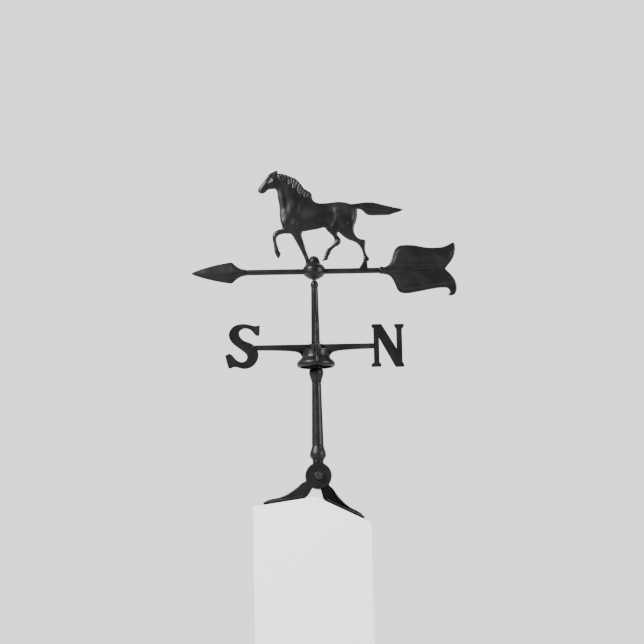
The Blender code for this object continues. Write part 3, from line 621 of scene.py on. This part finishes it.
def fold(points, line, proud, height, spread):
    """The edge of a muscle that lies over its neighbour; it fades out at both ends."""
    line = curve_points(line, 6, closed=False)
    length = np.linalg.norm(np.diff(line, axis=0), axis=1).sum()
    distance, place, side = nearest(points, line)
    across = distance * side * proud
    lip = height * np.exp(-(across / spread) ** 2)
    valley = -0.5 * height * np.exp(-(across / (spread * 0.7)) ** 2)
    share = 0.5 + 0.5 * np.tanh(across / min(3.2, spread / 3))
    fade = smooth_step(place, 0, 9) * smooth_step(length - place, 0, 9)
    return (share * lip + (1 - share) * valley) * fade


def mane_height(points):
    """Locks of hair that stream down and back from the crest of the neck."""
    distance, place, side = nearest(points, curve_points(CREST, 8, closed=False))
    drop = -side * distance
    hair = place - 0.62 * drop + 1.5 * np.sin(drop / 7.0 + place / 16)
    reach = 19 + 3.4 * np.sin(hair / 3.3) + 1.6 * np.sin(hair / 1.9 + 1)
    reach = reach * smooth_step(place, -22, 16) * (1 - 0.4 * smooth_step(place, 84, 112))
    on_neck = smooth_step(reach - drop, 0, 5) * smooth_step(place, 1, 8)
    on_neck = on_neck * smooth_step(points[:, 1], 171, 176)
    locks = np.abs(np.sin(math.pi * hair / LOCK)) ** 0.8
    strands = 0.5 + 0.5 * np.cos(math.tau * hair / (LOCK / 2))
    return on_neck * (0.5 + 1.15 * locks - 0.25 * strands)


def tail_height(points):
    """Hair that streams along the tail."""
    x, z = points[:, 0], points[:, 1]
    top = np.interp(x, *zip(*TAIL_TOP))
    under = np.interp(x, *zip(*TAIL_UNDER))
    across = (z - under) / np.maximum(top - under, 0.5)
    wave = across + 0.05 * np.sin(x / 13) + 0.02 * np.sin(x / 5.7 + 2)
    locks = np.abs(np.sin(math.pi * wave * 3.4)) ** 0.8
    strands = 0.5 + 0.5 * np.cos(math.tau * wave * 8.5 + x / 19)
    fullness = smooth_step(x, 103, 120) * smooth_step(top - under, 2, 24) * (z > 126)
    return fullness * (0.3 + 1.5 * locks + 0.3 * strands)


def hair_or_head(points):
    """Where the horse has its finest detail: the head, the mane and the tail."""
    x, z = points[:, 0], points[:, 1]
    crest = nearest(points, curve_points(CREST, 8, closed=False))[0]
    return ((x < -76) & (z > 180)) | ((crest < 27) & (z > 170)) | ((x > 101) & (z > 126))


def horse_half_thickness(points, depth):
    x, z = points[:, 0], points[:, 1]
    near = np.clip(depth, 0, 7) / 7
    half = 1.3 + 3.6 * np.sqrt(1 - (1 - near) ** 2) + 2.8 * smooth_step(depth, 3, 26)
    detail = mane_height(points) + tail_height(points)
    for muscle in MUSCLES:
        detail = detail + mound(points, *muscle)
    for muscle_edge in FOLDS:
        detail = detail + fold(points, *muscle_edge)
    for cut_line in GROOVES:
        detail = detail + groove(points, *cut_line)
    socket = mound(points, (-102.6, 218.2), (5.2, 3.4), 30, -0.9)
    eye = mound(points, (-103, 218), (2.6, 1.8), 30, 1.5)
    detail = detail + socket + eye
    half = half + detail * (0.2 + 0.8 * smooth_step(depth, 0, 2.2))
    tenon = HORSE_TENON + np.maximum(z - 24, 0) * 0.35
    standing = ((x > -24) & (x < -8)) | ((x > 110) & (x < 130))
    return np.where(standing & (z < 30), np.minimum(half, tenon), half)


def add_horse():
    mesh = relief("horse", HORSE_OUTLINE, horse_half_thickness, 1.3, (0.2, 0.65, 1.3), 0.8,
                  fine_zone=hair_or_head)
    show("horse", mesh, AT_ARROW, BLACK, "horse_figure", sharp=80)


# ---------------- arrow

SPEAR = [(-282, 0.9, 1.2), (-275, 4.5, 2.6), (-262, 9.0, 3.6), (-250, 12.8, 4.4), (-237, 16.2, 5.0),
         (-225, 19.0, 5.6), (-212, 21.5, 6.1), (-200, 23.6, 6.6), (-192, 24.8, 7.0), (-188, 23.7, 7.1),
         (-182, 18.0, 7.2), (-175, 12.5, 7.3), (-168, 9.2, 7.4), (-163, 7.9, 7.6), (-157, 7.4, 7.4)]

TULIP_TOP = [(158, 6, CORNER), (169, 10), (174, 15.5), (177.5, 22), (180, 29), (183, 39), (187, 47.5),
             (192, 53), (199, 56.7), (209, 57.7), (221, 57.8), (234, 56.5), (249, 53.3), (264, 51),
             (279, 50.4), (294, 51.2), (304, 53.7), (312, 57.2), (319, 61), (323, 62.6, CORNER)]
TULIP_BACK = [(325.5, 59), (326.7, 51), (326.4, 43), (324.3, 34), (321, 26), (316, 18), (310, 10.6),
              (303, 2, CORNER), (305, -2), (311, -8), (317, -15), (322, -22), (325.3, -29), (327.3, -37),
              (327.9, -46), (326, -54), (321, -59.8), (314.5, -61.5), (307.5, -60.3, CORNER)]
TULIP_UNDER = [(311, -55), (312, -51), (310, -47), (305.5, -43.9), (299, -43), (289, -43.2), (274, -45),
               (254, -48.5), (234, -52), (219, -54.4), (206, -54.4), (197, -52), (191.5, -46), (188, -38),
               (185, -30), (181, -22), (176, -15), (170, -11), (158, -8, CORNER)]


def spear_mesh():
    """The arrow's point: a ridged diamond that runs into a round socket."""
    table = np.array(SPEAR)
    places = np.concatenate([np.arange(-282, -196, 2.0), np.arange(-196, -156.5, 1.0)])
    angles = np.linspace(0, math.tau, 64, endpoint=False)
    bm = bmesh.new()
    loops = []
    for x in places:
        height = np.interp(x, table[:, 0], table[:, 1])
        thick = np.interp(x, table[:, 0], table[:, 2])
        power = 0.92 + 1.08 * smooth_step(x, -196, -160)
        edge = 0.9 * (1 - smooth_step(x, -185, -165)) * min(1.0, thick / 2)
        cosine, sine = np.cos(angles), np.sin(angles)
        ridge = (thick - edge) * np.abs(cosine) ** (2 / power)
        y = np.sign(cosine) * (ridge + edge * np.abs(cosine) ** 0.3)
        z = height * np.sign(sine) * np.abs(sine) ** (2 / power)
        loops.append([bm.verts.new((x, a, b)) for a, b in zip(y, z)])
    for near, far in zip(loops, loops[1:]):
        for i in range(len(near)):
            bm.faces.new((near[i - 1], near[i], far[i], far[i - 1]))
    bm.faces.new(loops[0])
    bm.faces.new(loops[-1])
    return mesh_from("spear", bm)


def tulip_half_thickness(points, depth):
    """Two curled petals with raised veins, and a socket cone that fades into them."""
    x, z = points[:, 0], points[:, 1]
    top = np.interp(x, *zip(*[point[:2] for point in TULIP_TOP]))
    under = np.interp(x, *zip(*[point[:2] for point in reversed(TULIP_UNDER[4:])]))
    across = np.where(z > 0, z / np.maximum(top, 4), z / np.minimum(under, -4))
    near = np.clip(depth, 0, 3.5) / 3.5
    half = 1.7 + 1.5 * np.sqrt(1 - (1 - near) ** 2)
    petal = 2.8 * np.sin(math.pi * np.clip(across, 0, 1)) ** 0.8 * smooth_step(depth, 0.5, 12)
    seam = -1.2 * np.exp(-(z / 2.2) ** 2) * smooth_step(x, 214, 232)
    length = smooth_step(x, 184, 205) * (1 - 0.5 * smooth_step(x, 296, 322))
    fan = across + 0.10 * smooth_step(x, 260, 325) * np.sin(math.pi * across)
    veins = 0.85 * (np.abs(np.cos(math.pi * fan * 4.0)) - 0.6) * length * smooth_step(depth, 2.5, 6.5)
    border = 0.9 * np.exp(-((depth - 2.8) / 1.3) ** 2)
    radius = 8.2 - 6.7 * np.clip((x - 176) / 54, 0, 1)
    cone = np.sqrt(np.maximum(radius ** 2 - z ** 2, 0)) * (x < 230)
    return np.maximum(half + petal + seam + veins + border, cone)


def add_arrow():
    show("spear_point", spear_mesh(), AT_ARROW, BLACK, "arrow_point", sharp=50)
    outline = TULIP_TOP + TULIP_BACK + TULIP_UNDER
    tulip = relief("tulip", outline, tulip_half_thickness, 1.7, (0.3, 0.9, 1.8), 1.2)
    socket = lathe("socket", [(0, 176, CORNER), (8.1, 176, CORNER), (8.2, 157), (8.9, 154.5), (8.9, 152.5),
                              (8.3, 151, CORNER), (0, 151, CORNER)])
    show("tulip_tail", joined("tulip", [tulip, turned_to(socket, "X")]), AT_ARROW, BLACK,
         "arrow_tail", sharp=60)
    start = 11.5
    for side, end in (("front", 156.9), ("rear", 150.9)):
        profile = corners([(0, start), (SHAFT_RADIUS, start), (SHAFT_RADIUS, end - 3),
                           (SHAFT_RADIUS - 0.7, end), (0, end)])
        shaft = turned_to(lathe("shaft", profile, 64, 1), "X")
        if side == "front":
            half_turned(shaft, "Z")
        show("shaft_" + side, shaft, AT_ARROW, BLACK, side + "_shaft")


def add_hub():
    """The hub with its slot for the front hoof, its bush, and the saddle under the rear hoof."""
    dome = [(0, 36), (5.4, 35.2), (9.3, 32.2), (12, 27), (13.9, 22.3), (16, 18.4), (19.6, 14.6),
            (25.2, 7.5), (25.8, 2), (25.2, -5), (20, -10.6), (13.5, -16), (8.8, -18.5, CORNER),
            (0, -18.5, CORNER)]
    body = cast("hub", [lathe("dome", dome, 96)], 0.85, 3)
    slot_half = HORSE_TENON + 0.4
    holes = [block((-24, -slot_half, 11.7), (-10.9, slot_half, 40)), bar(7.8, -30, -7, sides=64)]
    for reach in (-19, 19):
        holes.append(moved(bar(SCREW_HOLE, -25, -5, sides=32), reach))
    show("hub_dome", combined(body, holes), AT_ARROW, BLACK, "arrow_hub")
    bush = corners([(7.5, -7.3), (7.5, -17.4), (6.9, -18.2), (5.6, -18.2), (5.1, -17.6), (5.1, -7.3)])
    show("nylon_bush", lathe("bush", bush, 64, 1), AT_ARROW, NYLON, "hub_bush")

    outline = [(104, 3, CORNER), (105.5, 8), (109, 13), (112, 19.5, CORNER), (123, 19.5, CORNER),
               (123.3, 11), (124.5, 3, CORNER)]
    saddle = cast("saddle", [plate("saddle", outline, 15.0, 1.6)], 0.5, 2)
    cuts = [block((113.2, -slot_half, 8.7), (122.0, slot_half, 30)),
            bar(SHAFT_RADIUS + 0.15, 90, 140, "X", 0.01, 96)]
    show("hoof_saddle", combined(saddle, cuts), AT_ARROW, BLACK, "rear_saddle")


# ---------------- compass

# slab-serif letters, each with its left edge at x = 0
LETTER_N = corners([
    (2, 48), (2, 42), (6, 38), (6, -38), (0, -42), (0, -48), (22, -48), (22, -42), (18, -38), (18, 17),
    (54, -49), (73, -49), (73, -43), (69.5, -38), (69.5, 37), (74, 41), (74, 47.5), (53, 47.5),
    (53, 41.5), (57, 37), (57, -8), (24, 48)])
LETTER_S = [
    (78.5, 50, CORNER), (66, 48.6), (57, 51), (42, 53.6), (27, 51.6), (17, 46), (10.5, 37), (9, 28),
    (12, 18), (19, 9), (29, 1), (39, -7), (46, -13), (49, -19), (48, -25), (44, -30), (36, -32),
    (28, -29), (21, -23), (15, -15.5), (10, -12.5, CORNER), (0, -16.5, CORNER), (4, -34),
    (7.5, -45.5, CORNER), (13, -45), (19, -42.5), (27, -43.5), (37, -46.5), (49, -46.5), (60, -42),
    (68, -34), (73, -24), (74, -14), (71, -4), (64, 5), (57, 10), (49, 13), (41, 17), (35, 23),
    (32, 30), (32.5, 36), (37, 41), (44, 43.6), (52, 42.6), (59, 39), (65, 32), (70, 26.6, CORNER),
    (77, 27, CORNER)]
LETTER_E = corners([
    (0, 48), (65, 48), (65, 25), (59, 25), (54, 38), (26, 38), (26, 6), (37, 6), (40, 15), (46, 15),
    (46, -15), (40, -15), (37, -6), (26, -6), (26, -38), (56, -38), (62, -24), (68, -24), (68, -48),
    (0, -48), (0, -42), (8, -37), (8, 37), (0, 42)])


def letter_w():
    left = [(0, 48), (0, 42), (7, 38), (25, -48), (34, -48)]
    notch = [(42, 34), (30.5, -20), (19, 38), (26, 42), (26, 48)]
    mirrored = [(92 - x, z) for x, z in reversed(notch + left)]
    return corners(left + [(46, 4)] + mirrored + notch)


def arm_outline(left_end, right_end):
    """A compass arm: straight on top, with a cove on each side down to the bell's neck."""
    foot = BELL_NECK - 0.3        # a tight seat on the neck
    side = [(75, -8.5), (52, -10.5), (41, -13), (35, -17), (foot + 1.6, -21.5), (foot, -24, CORNER),
            (foot, -7, CORNER)]
    end = [(-5, 5, CORNER), (-1.5, 3), (0, -0.75), (-1.5, -4.5), (-5, -6.5, CORNER)]
    right = [(right_end + x, z, *kind) for x, z, *kind in end] + side
    left = [(left_end - x, z, *kind) for x, z, *kind in end]
    left += [(-x, z, *kind) for x, z, *kind in side]
    return right + left[::-1]


def placed_letter(outline, start):
    return [(start + LETTER_SIZE * x, LETTER_SIZE * z, *kind) for x, z, *kind in outline]


def add_bar(name, node, turn, left, right, ring_low, ring_high):
    """A compass bar: each side is its letter, the place of the letter's left edge and the arm's end."""
    left_letter, left_start, left_end = left
    right_letter, right_start, right_end = right
    ring = corners([(17, ring_high), (18, ring_high - 1), (18, ring_low + 0.6), (17.4, ring_low),
                    (ROD_BORE, ring_low), (ROD_BORE, ring_high)])
    meshes = [plate("arm", arm_outline(left_end, right_end), 8.0, 1.5),
              plate("left", placed_letter(left_letter, left_start), 5.0, 1.0),
              plate("right", placed_letter(right_letter, right_start), 5.0, 1.0),
              lathe("ring", ring, 64, 1)]
    place = AT_ARMS @ Matrix.Rotation(math.radians(turn), 4, "Z")
    show(name, joined(name, meshes), place, BLACK, node)


def add_compass():
    add_bar("bar_north_south", "ns_directional", 0, (LETTER_S, -208, -146),
            (LETTER_N, LETTER_START, 142), -0.85, 5.0)
    add_bar("bar_east_west", "ew_directional", -90, (letter_w(), -211, -138),
            (LETTER_E, LETTER_START, 145), -7.0, -1.15)
    bell = [(BELL_NECK - 1.5, BELL_TOP, CORNER), (BELL_NECK, BELL_TOP - 1.5, CORNER),
            (BELL_NECK, -21.5, CORNER), (32.2, -24.8), (35, -28.6), (39.4, -32.5), (42.7, -36.5),
            (43.6, -40.8), (42.6, -45), (39.6, -47.4), (36.8, -46.4, CORNER), (36.8, -41), (30.5, -32.5),
            (27, -25), (26.5, -12.5, CORNER), (14, -12.5, CORNER), (14, BELL_FOOT + 1, CORNER),
            (13, BELL_FOOT, CORNER), (ROD_BORE, BELL_FOOT, CORNER), (ROD_BORE, BELL_TOP, CORNER)]
    mesh = lathe("bell", bell, 96, 6)
    holes = [moved(bar(SCREW_HOLE, 6, 20, "Y", sides=32), z=BELL_FOOT + 3.9) for _ in range(2)]
    half_turned(holes[0], "Z")
    show("bell", combined(mesh, holes), AT_ARMS, BLACK, "directional_bell")


# ---------------- mast

def add_mast():
    """The turned sleeves that stack on the rod, from the foot bead up; heights are from the pivot."""
    sleeves = {
        "foot_bead": [(12.9, 69.3, CORNER), (13.6, 68.6, CORNER), (15.0, 62.5), (17.4, 55.5), (18.3, 49.0),
                      (17.2, 42.8), (13.8, 38.0), (12.9, 35.4, CORNER), (12.3, 34.6, CORNER)],
        "lower_post": corners([(9.9, 213.8), (10.5, 213.2), (13.4, 70.3), (12.8, 69.6)]),
        "post_collar": [(14.2, 245.1, CORNER), (15.0, 244.3, CORNER), (16.5, 238.0), (14.3, 227.5),
                        (12.1, 220.5), (10.8, 214.9, CORNER), (10.0, 214.1, CORNER)],
        "upper_post": corners([(7.2, 434.6), (7.7, 434.1), (9.9, 304.0), (9.2, 303.1)]),
        "top_ferrule": [(5.9, 449.1, CORNER), (6.5, 448.6, CORNER), (8.3, 445.0), (9.0, 441.5),
                        (8.2, 436.2, CORNER), (7.6, 434.9, CORNER)]}
    holes = {"post_collar": (2.3, 236), "top_ferrule": (1.8, 441.5)}
    for node, outer in sleeves.items():
        profile = outer + corners([(ROD_BORE, outer[-1][1]), (ROD_BORE, outer[0][1])])
        mesh = lathe(node, profile, 96, 6)
        if node in holes:
            radius, height = holes[node]
            mesh = combined(mesh, [moved(bar(radius, -30, -7, "Y", 0.2, 24), z=height)])
        show("mast_" + node, mesh, AT_PIVOT, BLACK, node)


# ---------------- roof mount

def add_leg(name, node, place):
    """One leg, made with its sole level: the pivot at the origin, the toe at +X, the ear at +Y."""
    web = [(28.5, -5.0, CORNER), (32.5, -8.0, CORNER), (75.0, -31.2), (96.0, -36.4), (118.0, -38.2),
           (129.0, -42.0, CORNER), (129.0, -45.2, CORNER), (40, -45.2, CORNER), (31.0, -40.5),
           (24.0, -32.5), (17.0, -24.5, CORNER)]
    flange = [(37.5, -9.0, CORNER), (75.0, -29.5), (96.0, -34.6), (118.0, -35.8), (128.0, -38.4),
              (133, -46.2, CORNER), (118.0, -41.0, CORNER), (96.0, -38.8), (74.0, -33.6),
              (35.4, -12.4, CORNER)]
    sole = corners([(38, -27), (38, 27), (134, 27), (134, -27)])
    edge = 1.0
    near, far = 8.3, 15.3         # the ear's faces, and a boss on the far one for the washer
    ear = corners([(0, near), (EAR_RADIUS - edge, near), (EAR_RADIUS, near + edge),
                   (EAR_RADIUS, far - edge), (EAR_RADIUS - edge, far), (16, far), (15, far + 0.3),
                   (0, far + 0.3)])
    thickness = 7.0
    flat = plate("sole", sole, thickness, 1.2, steps=1)
    flat.transform(Matrix.Rotation(math.pi / 2, 4, "X"))
    rib = plate("flange", flange, 26.0, 1.2, spacing=2.5)
    for vert in rib.vertices:     # narrow and in line with the ear at one end, full width at the toe
        spread = float(smooth_step(vert.co.x, 34, 72))
        vert.co.y = EAR_MIDDLE * (1 - spread) + vert.co.y * (0.27 + 0.73 * spread)
    meshes = [turned_to(lathe("ear", ear, 96, 1), "Y"), rib, moved(flat, z=thickness / 2 - SOLE_DROP),
              moved(plate("web", web, thickness, 1.0), y=EAR_MIDDLE)]
    holes = [bar(BOLT_HOLE, 0, 20, "Y", sides=48)]
    lag_hole = corners([(0, 9), (5.2, 9), (5.2, 7.6), (3.5, 5.9), (3.5, -2), (0, -2)])
    for reach in (62, 112):
        for side in (-20, 20):
            holes.append(moved(lathe("lag_hole", lag_hole, 32, 1), reach, side, -SOLE_DROP))
    show(name, combined(cast(name, meshes, 0.75, 8), holes), place, BLACK, node)


def add_roof_mount():
    """Both legs at the roof's pitches, and the socket whose lug stands between their ears."""
    left = AT_PIVOT @ Matrix.Rotation(math.pi, 4, "Z") @ Matrix.Rotation(LEFT_PITCH, 4, "Y")
    right = AT_PIVOT @ Matrix.Rotation(RIGHT_PITCH, 4, "Y")
    add_leg("leg_left", "left_leg", left)
    add_leg("leg_right", "right_leg", right)

    lug = bar(EAR_RADIUS, -LUG_HALF, LUG_HALF, "Y", 1.2, 96)
    neck = bar(12.6, 12, 34.3, "Z", 0.8, 72)
    mesh = cast("socket", [lug, neck], 0.9, 3)
    clearances = [bar(EAR_RADIUS + 1, low, high, "Y", 0.01, 96)
                  for low, high in ((LUG_HALF, 20), (-20, -LUG_HALF))]
    show("socket_lug", combined(mesh, clearances), AT_PIVOT, BLACK, "mount_socket")


# ---------------- fasteners

def span(node, axis):
    """A round CAD node's radius and half its length along an axis, in mm, and its middle in the frame."""
    low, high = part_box(node)
    index = "XYZ".index(axis)
    other = (index + 1) % 3
    radius = (high[other] - low[other]) / 2 / MM
    half = (high[index] - low[index]) / 2 / MM
    return radius, half, (low + high) / 2


def add_pin(node):
    """A riveted pin along Y with domed ends."""
    radius, half, middle = span(node, "Y")
    profile = [(0, half), (radius * 0.6, half - 0.15), (radius, half - 0.7, CORNER),
               (radius, -half + 0.7, CORNER), (radius * 0.6, -half + 0.15), (0, -half)]
    mesh = turned_to(lathe(node, profile, 32, 4), "Y")
    show(node + "_rivet", mesh, Matrix.Translation(middle), STEEL, node)


def add_set_screw(node, axis, outward):
    """A set screw with a chamfered mouth and a hexagonal socket, which faces outward (1 or -1)."""
    radius, half, middle = span(node, axis)
    pitch = 0.8
    profile = [(0, half), (radius - 0.5, half)]
    ridges = int((2 * half - 1.2) / pitch)
    for turn in range(ridges):
        top = half - 0.5 - turn * pitch
        profile += [(radius, top - 0.1), (radius - 0.35, top - pitch / 2)]
    profile += [(radius - 0.6, -half), (0, -half)]
    mesh = lathe(node, corners(profile), 32, 1)
    mesh = combined(mesh, [hexagon(radius * 0.62, half - 1.8, half + 1)])
    if outward < 0:
        half_turned(mesh, "X")
    place = Matrix.Translation(middle)
    show(node + "_threaded", turned_to(mesh, axis), place, STEEL, node)


def hexagon(radius, low, high):
    bm = bmesh.new()
    bmesh.ops.create_cone(bm, cap_ends=True, segments=6, radius1=radius, radius2=radius, depth=high - low)
    bmesh.ops.translate(bm, verts=bm.verts, vec=(0, 0, (high + low) / 2))
    return mesh_from("hexagon", bm)


def chamfered_hexagon(radius, low, high, both):
    """A bolt's head or a nut: a hexagon whose corners are turned down on top, or on both faces."""
    fall = radius * 0.16
    across = radius * math.cos(math.pi / 6)
    profile = [(0, high), (across * 0.97, high), (radius + 0.3, high - fall)]
    if both:
        profile += [(radius + 0.3, low + fall), (across * 0.97, low), (0, low)]
    else:
        profile += [(radius + 0.3, low), (0, low)]
    blank = lathe("blank", corners(profile), 64, 1)
    return combined(blank, [hexagon(radius, low - 1, high + 1)], "INTERSECT")


def add_pivot_bolt():
    """The bolt through the lug and both ears, its nut and two washers, made along Z with the nut on top."""
    washer_low, washer_high = 15.6, 17.6
    across = 9.8              # radius of the head's and the nut's corners
    radius = 5.0
    tip = 28.6
    head = half_turned(chamfered_hexagon(across, washer_high + 0.3, washer_high + 6.7, False), "X")
    shank = [(0, tip), (radius - 1.1, tip), (radius - 0.4, tip - 0.7)]
    for turn in range(9):
        shank += [(radius, tip - 1.3 - turn), (radius - 0.5, tip - 1.8 - turn)]
    shank += [(radius, 18), (radius, -19), (0, -19)]
    bolt = joined("bolt", [head, lathe("shank", corners(shank), 48, 1)])
    show("hex_bolt", turned_to(bolt, "Y"), AT_PIVOT, STEEL, "pivot_bolt")
    nut = chamfered_hexagon(across, washer_high + 0.3, washer_high + 8, True)
    nut = combined(nut, [bar(BOLT_HOLE, 10, 40)])
    show("hex_nut", turned_to(nut, "Y"), AT_PIVOT, STEEL, "pivot_nut")
    for node, side in (("front_washer", -1), ("back_washer", 1)):
        ring = [(10.1, washer_high), (10.5, washer_high - 0.5), (10.5, washer_low), (BOLT_HOLE, washer_low),
                (BOLT_HOLE, washer_high)]
        mesh = lathe(node, corners(ring), 64, 1)
        if side < 0:
            half_turned(mesh, "X")
        show(node + "_disc", turned_to(mesh, "Y"), AT_PIVOT, STEEL, node)


def add_pan_screw(node):
    """A round-headed screw driven up from below, with a slot across its head."""
    radius, half, middle = span(node, "Z")
    shank = 2.0
    profile = [(0, half), (shank - 0.4, half, CORNER), (shank, half - 0.5, CORNER),
               (shank, -half + 2.4, CORNER), (radius, -half + 2.3, CORNER), (radius, -half + 1.4),
               (radius * 0.75, -half + 0.35), (0, -half)]
    slot = block((-radius * 2, -0.45, -half - 1), (radius * 2, 0.45, -half + 1.0))
    mesh = combined(lathe(node, profile, 48, 4), [slot])
    show(node + "_slotted", mesh, Matrix.Translation(middle), STEEL, node)


def add_fasteners():
    for node in ("point_pin", "tail_pin", "front_foot_pin", "rear_foot_pin"):
        add_pin(node)
    for node, axis, outward in (("socket_screw", "X", 1), ("collar_screw", "Y", -1),
                                ("ferrule_screw", "Y", -1), ("hub_screw_front", "Z", -1),
                                ("hub_screw_rear", "Z", -1), ("compass_screw_front", "Y", -1),
                                ("compass_screw_back", "Y", 1)):
        add_set_screw(node, axis, outward)
    for side in "nesw":
        add_pan_screw("arm_screw_" + side)
    add_pivot_bolt()


def finish_kept_nodes():
    """The rod, the ball and the saddle's screw keep their CAD shape and take a finished material."""
    for node in ("spindle_rod", "bearing_ball", "saddle_screw"):
        obj = frame["nodes"][node]
        obj.data.materials.clear()
        obj.data.materials.append(STEEL[1])


# ---------------- studio

def add_area_light(name, place, aim, size, power):
    light = bpy.data.lights.new(name, "AREA")
    light.shape = "DISK"
    light.size = size
    light.energy = power
    obj = bpy.data.objects.new(name, light)
    obj.location = place
    obj.rotation_euler = (Vector(aim) - Vector(place)).to_track_quat("-Z", "Y").to_euler()
    link(obj)


def ridge_block(floor_level):
    """A plain block with two slopes, on which the soles of the legs lie."""
    left, right = -150, 118
    left_rise, right_fall = math.tan(LEFT_PITCH), math.tan(RIGHT_PITCH)
    left_level = PIVOT / MM - SOLE_DROP / math.cos(LEFT_PITCH)        # of each slope at the mast's axis
    right_level = PIVOT / MM - SOLE_DROP / math.cos(RIGHT_PITCH)
    ridge = (right_level - left_level) / (left_rise + right_fall)
    outline = [(left, left_level + left * left_rise), (ridge, left_level + ridge * left_rise),
               (right, right_level - right * right_fall), (right, floor_level), (left, floor_level)]
    thickness = 70.0
    bm = bmesh.new()
    face = bm.faces.new([bm.verts.new((x, -thickness / 2, z)) for x, z in outline])
    pushed = bmesh.ops.extrude_face_region(bm, geom=[face])["geom"]
    verts = [part for part in pushed if isinstance(part, bmesh.types.BMVert)]
    bmesh.ops.translate(bm, verts=verts, vec=(0, thickness, 0))
    bmesh.ops.bevel(bm, geom=bm.edges[:], offset=2.0, segments=3, profile=0.5, affect="EDGES")
    return mesh_from("ridge_block", bm)


def add_studio():
    """A pale floor, a plain ridge block that the legs stand on, a pale surround and three soft lights."""
    floor_level = -480.0
    reach = 9000.0
    floor = bpy.data.meshes.new("floor")
    square = ((-reach, -reach), (reach, -reach), (reach, reach), (-reach, reach))
    floor.from_pydata([(x, y, floor_level) for x, y in square], [], [(0, 1, 2, 3)])
    for name, mesh, colour in (("floor", floor, (0.80, 0.80, 0.80)),
                               ("ridge_block", ridge_block(floor_level), (0.34, 0.34, 0.335))):
        mesh.transform(Matrix.Scale(MM, 4))
        mesh.materials.append(pale_plaster(name, colour))
        obj = bpy.data.objects.new(name, mesh)
        link(obj)
    world = bpy.data.worlds.new("surround")
    bpy.context.scene.world = world
    world.use_nodes = True
    sky = world.node_tree.nodes["Background"]
    sky.inputs["Color"].default_value = (0.95, 0.96, 0.97, 1)
    sky.inputs["Strength"].default_value = 0.95
    aim = (0, 0, 0.45)
    add_area_light("key", (-2.3, -1.9, 2.4), aim, 1.0, 420)
    add_area_light("fill", (2.7, -1.5, 0.9), aim, 1.3, 110)
    add_area_light("rim", (0.6, 2.4, 2.6), aim, 1.4, 70)
    view = bpy.context.scene.view_settings
    view.look = "AgX - Medium High Contrast"
    view.exposure = 0.35


def add_camera():
    """The camera at the photo's viewing angle: a long lens from below, rolled as the photo's mast leans."""
    azimuth, elevation, roll = (math.radians(angle) for angle in (-1.2, -8.5, 1.25))
    distance = 5.567
    aside, below = 0.0182, 0.1164         # the middle of the picture, from the arrow's height on the mast
    back = Vector((math.sin(azimuth) * math.cos(elevation), -math.cos(azimuth) * math.cos(elevation),
                   math.sin(elevation)))
    turn = back.to_track_quat("Z", "Y").to_matrix() @ Matrix.Rotation(-roll, 3, "Z")
    right, up = turn.col[0], turn.col[1]
    centre = Vector((0, 0, ARROW)) + right * aside - up * below
    data = bpy.data.cameras.new("camera")
    data.lens = 135
    data.sensor_width = 36
    camera = bpy.data.objects.new("camera", data)
    camera.matrix_world = Matrix.Translation(centre + back * distance) @ turn.to_4x4()
    link(camera)
    bpy.context.scene.camera = camera


add_horse()
add_arrow()
add_hub()
add_compass()
add_mast()
add_roof_mount()
add_fasteners()
finish_kept_nodes()
add_studio()
add_camera()
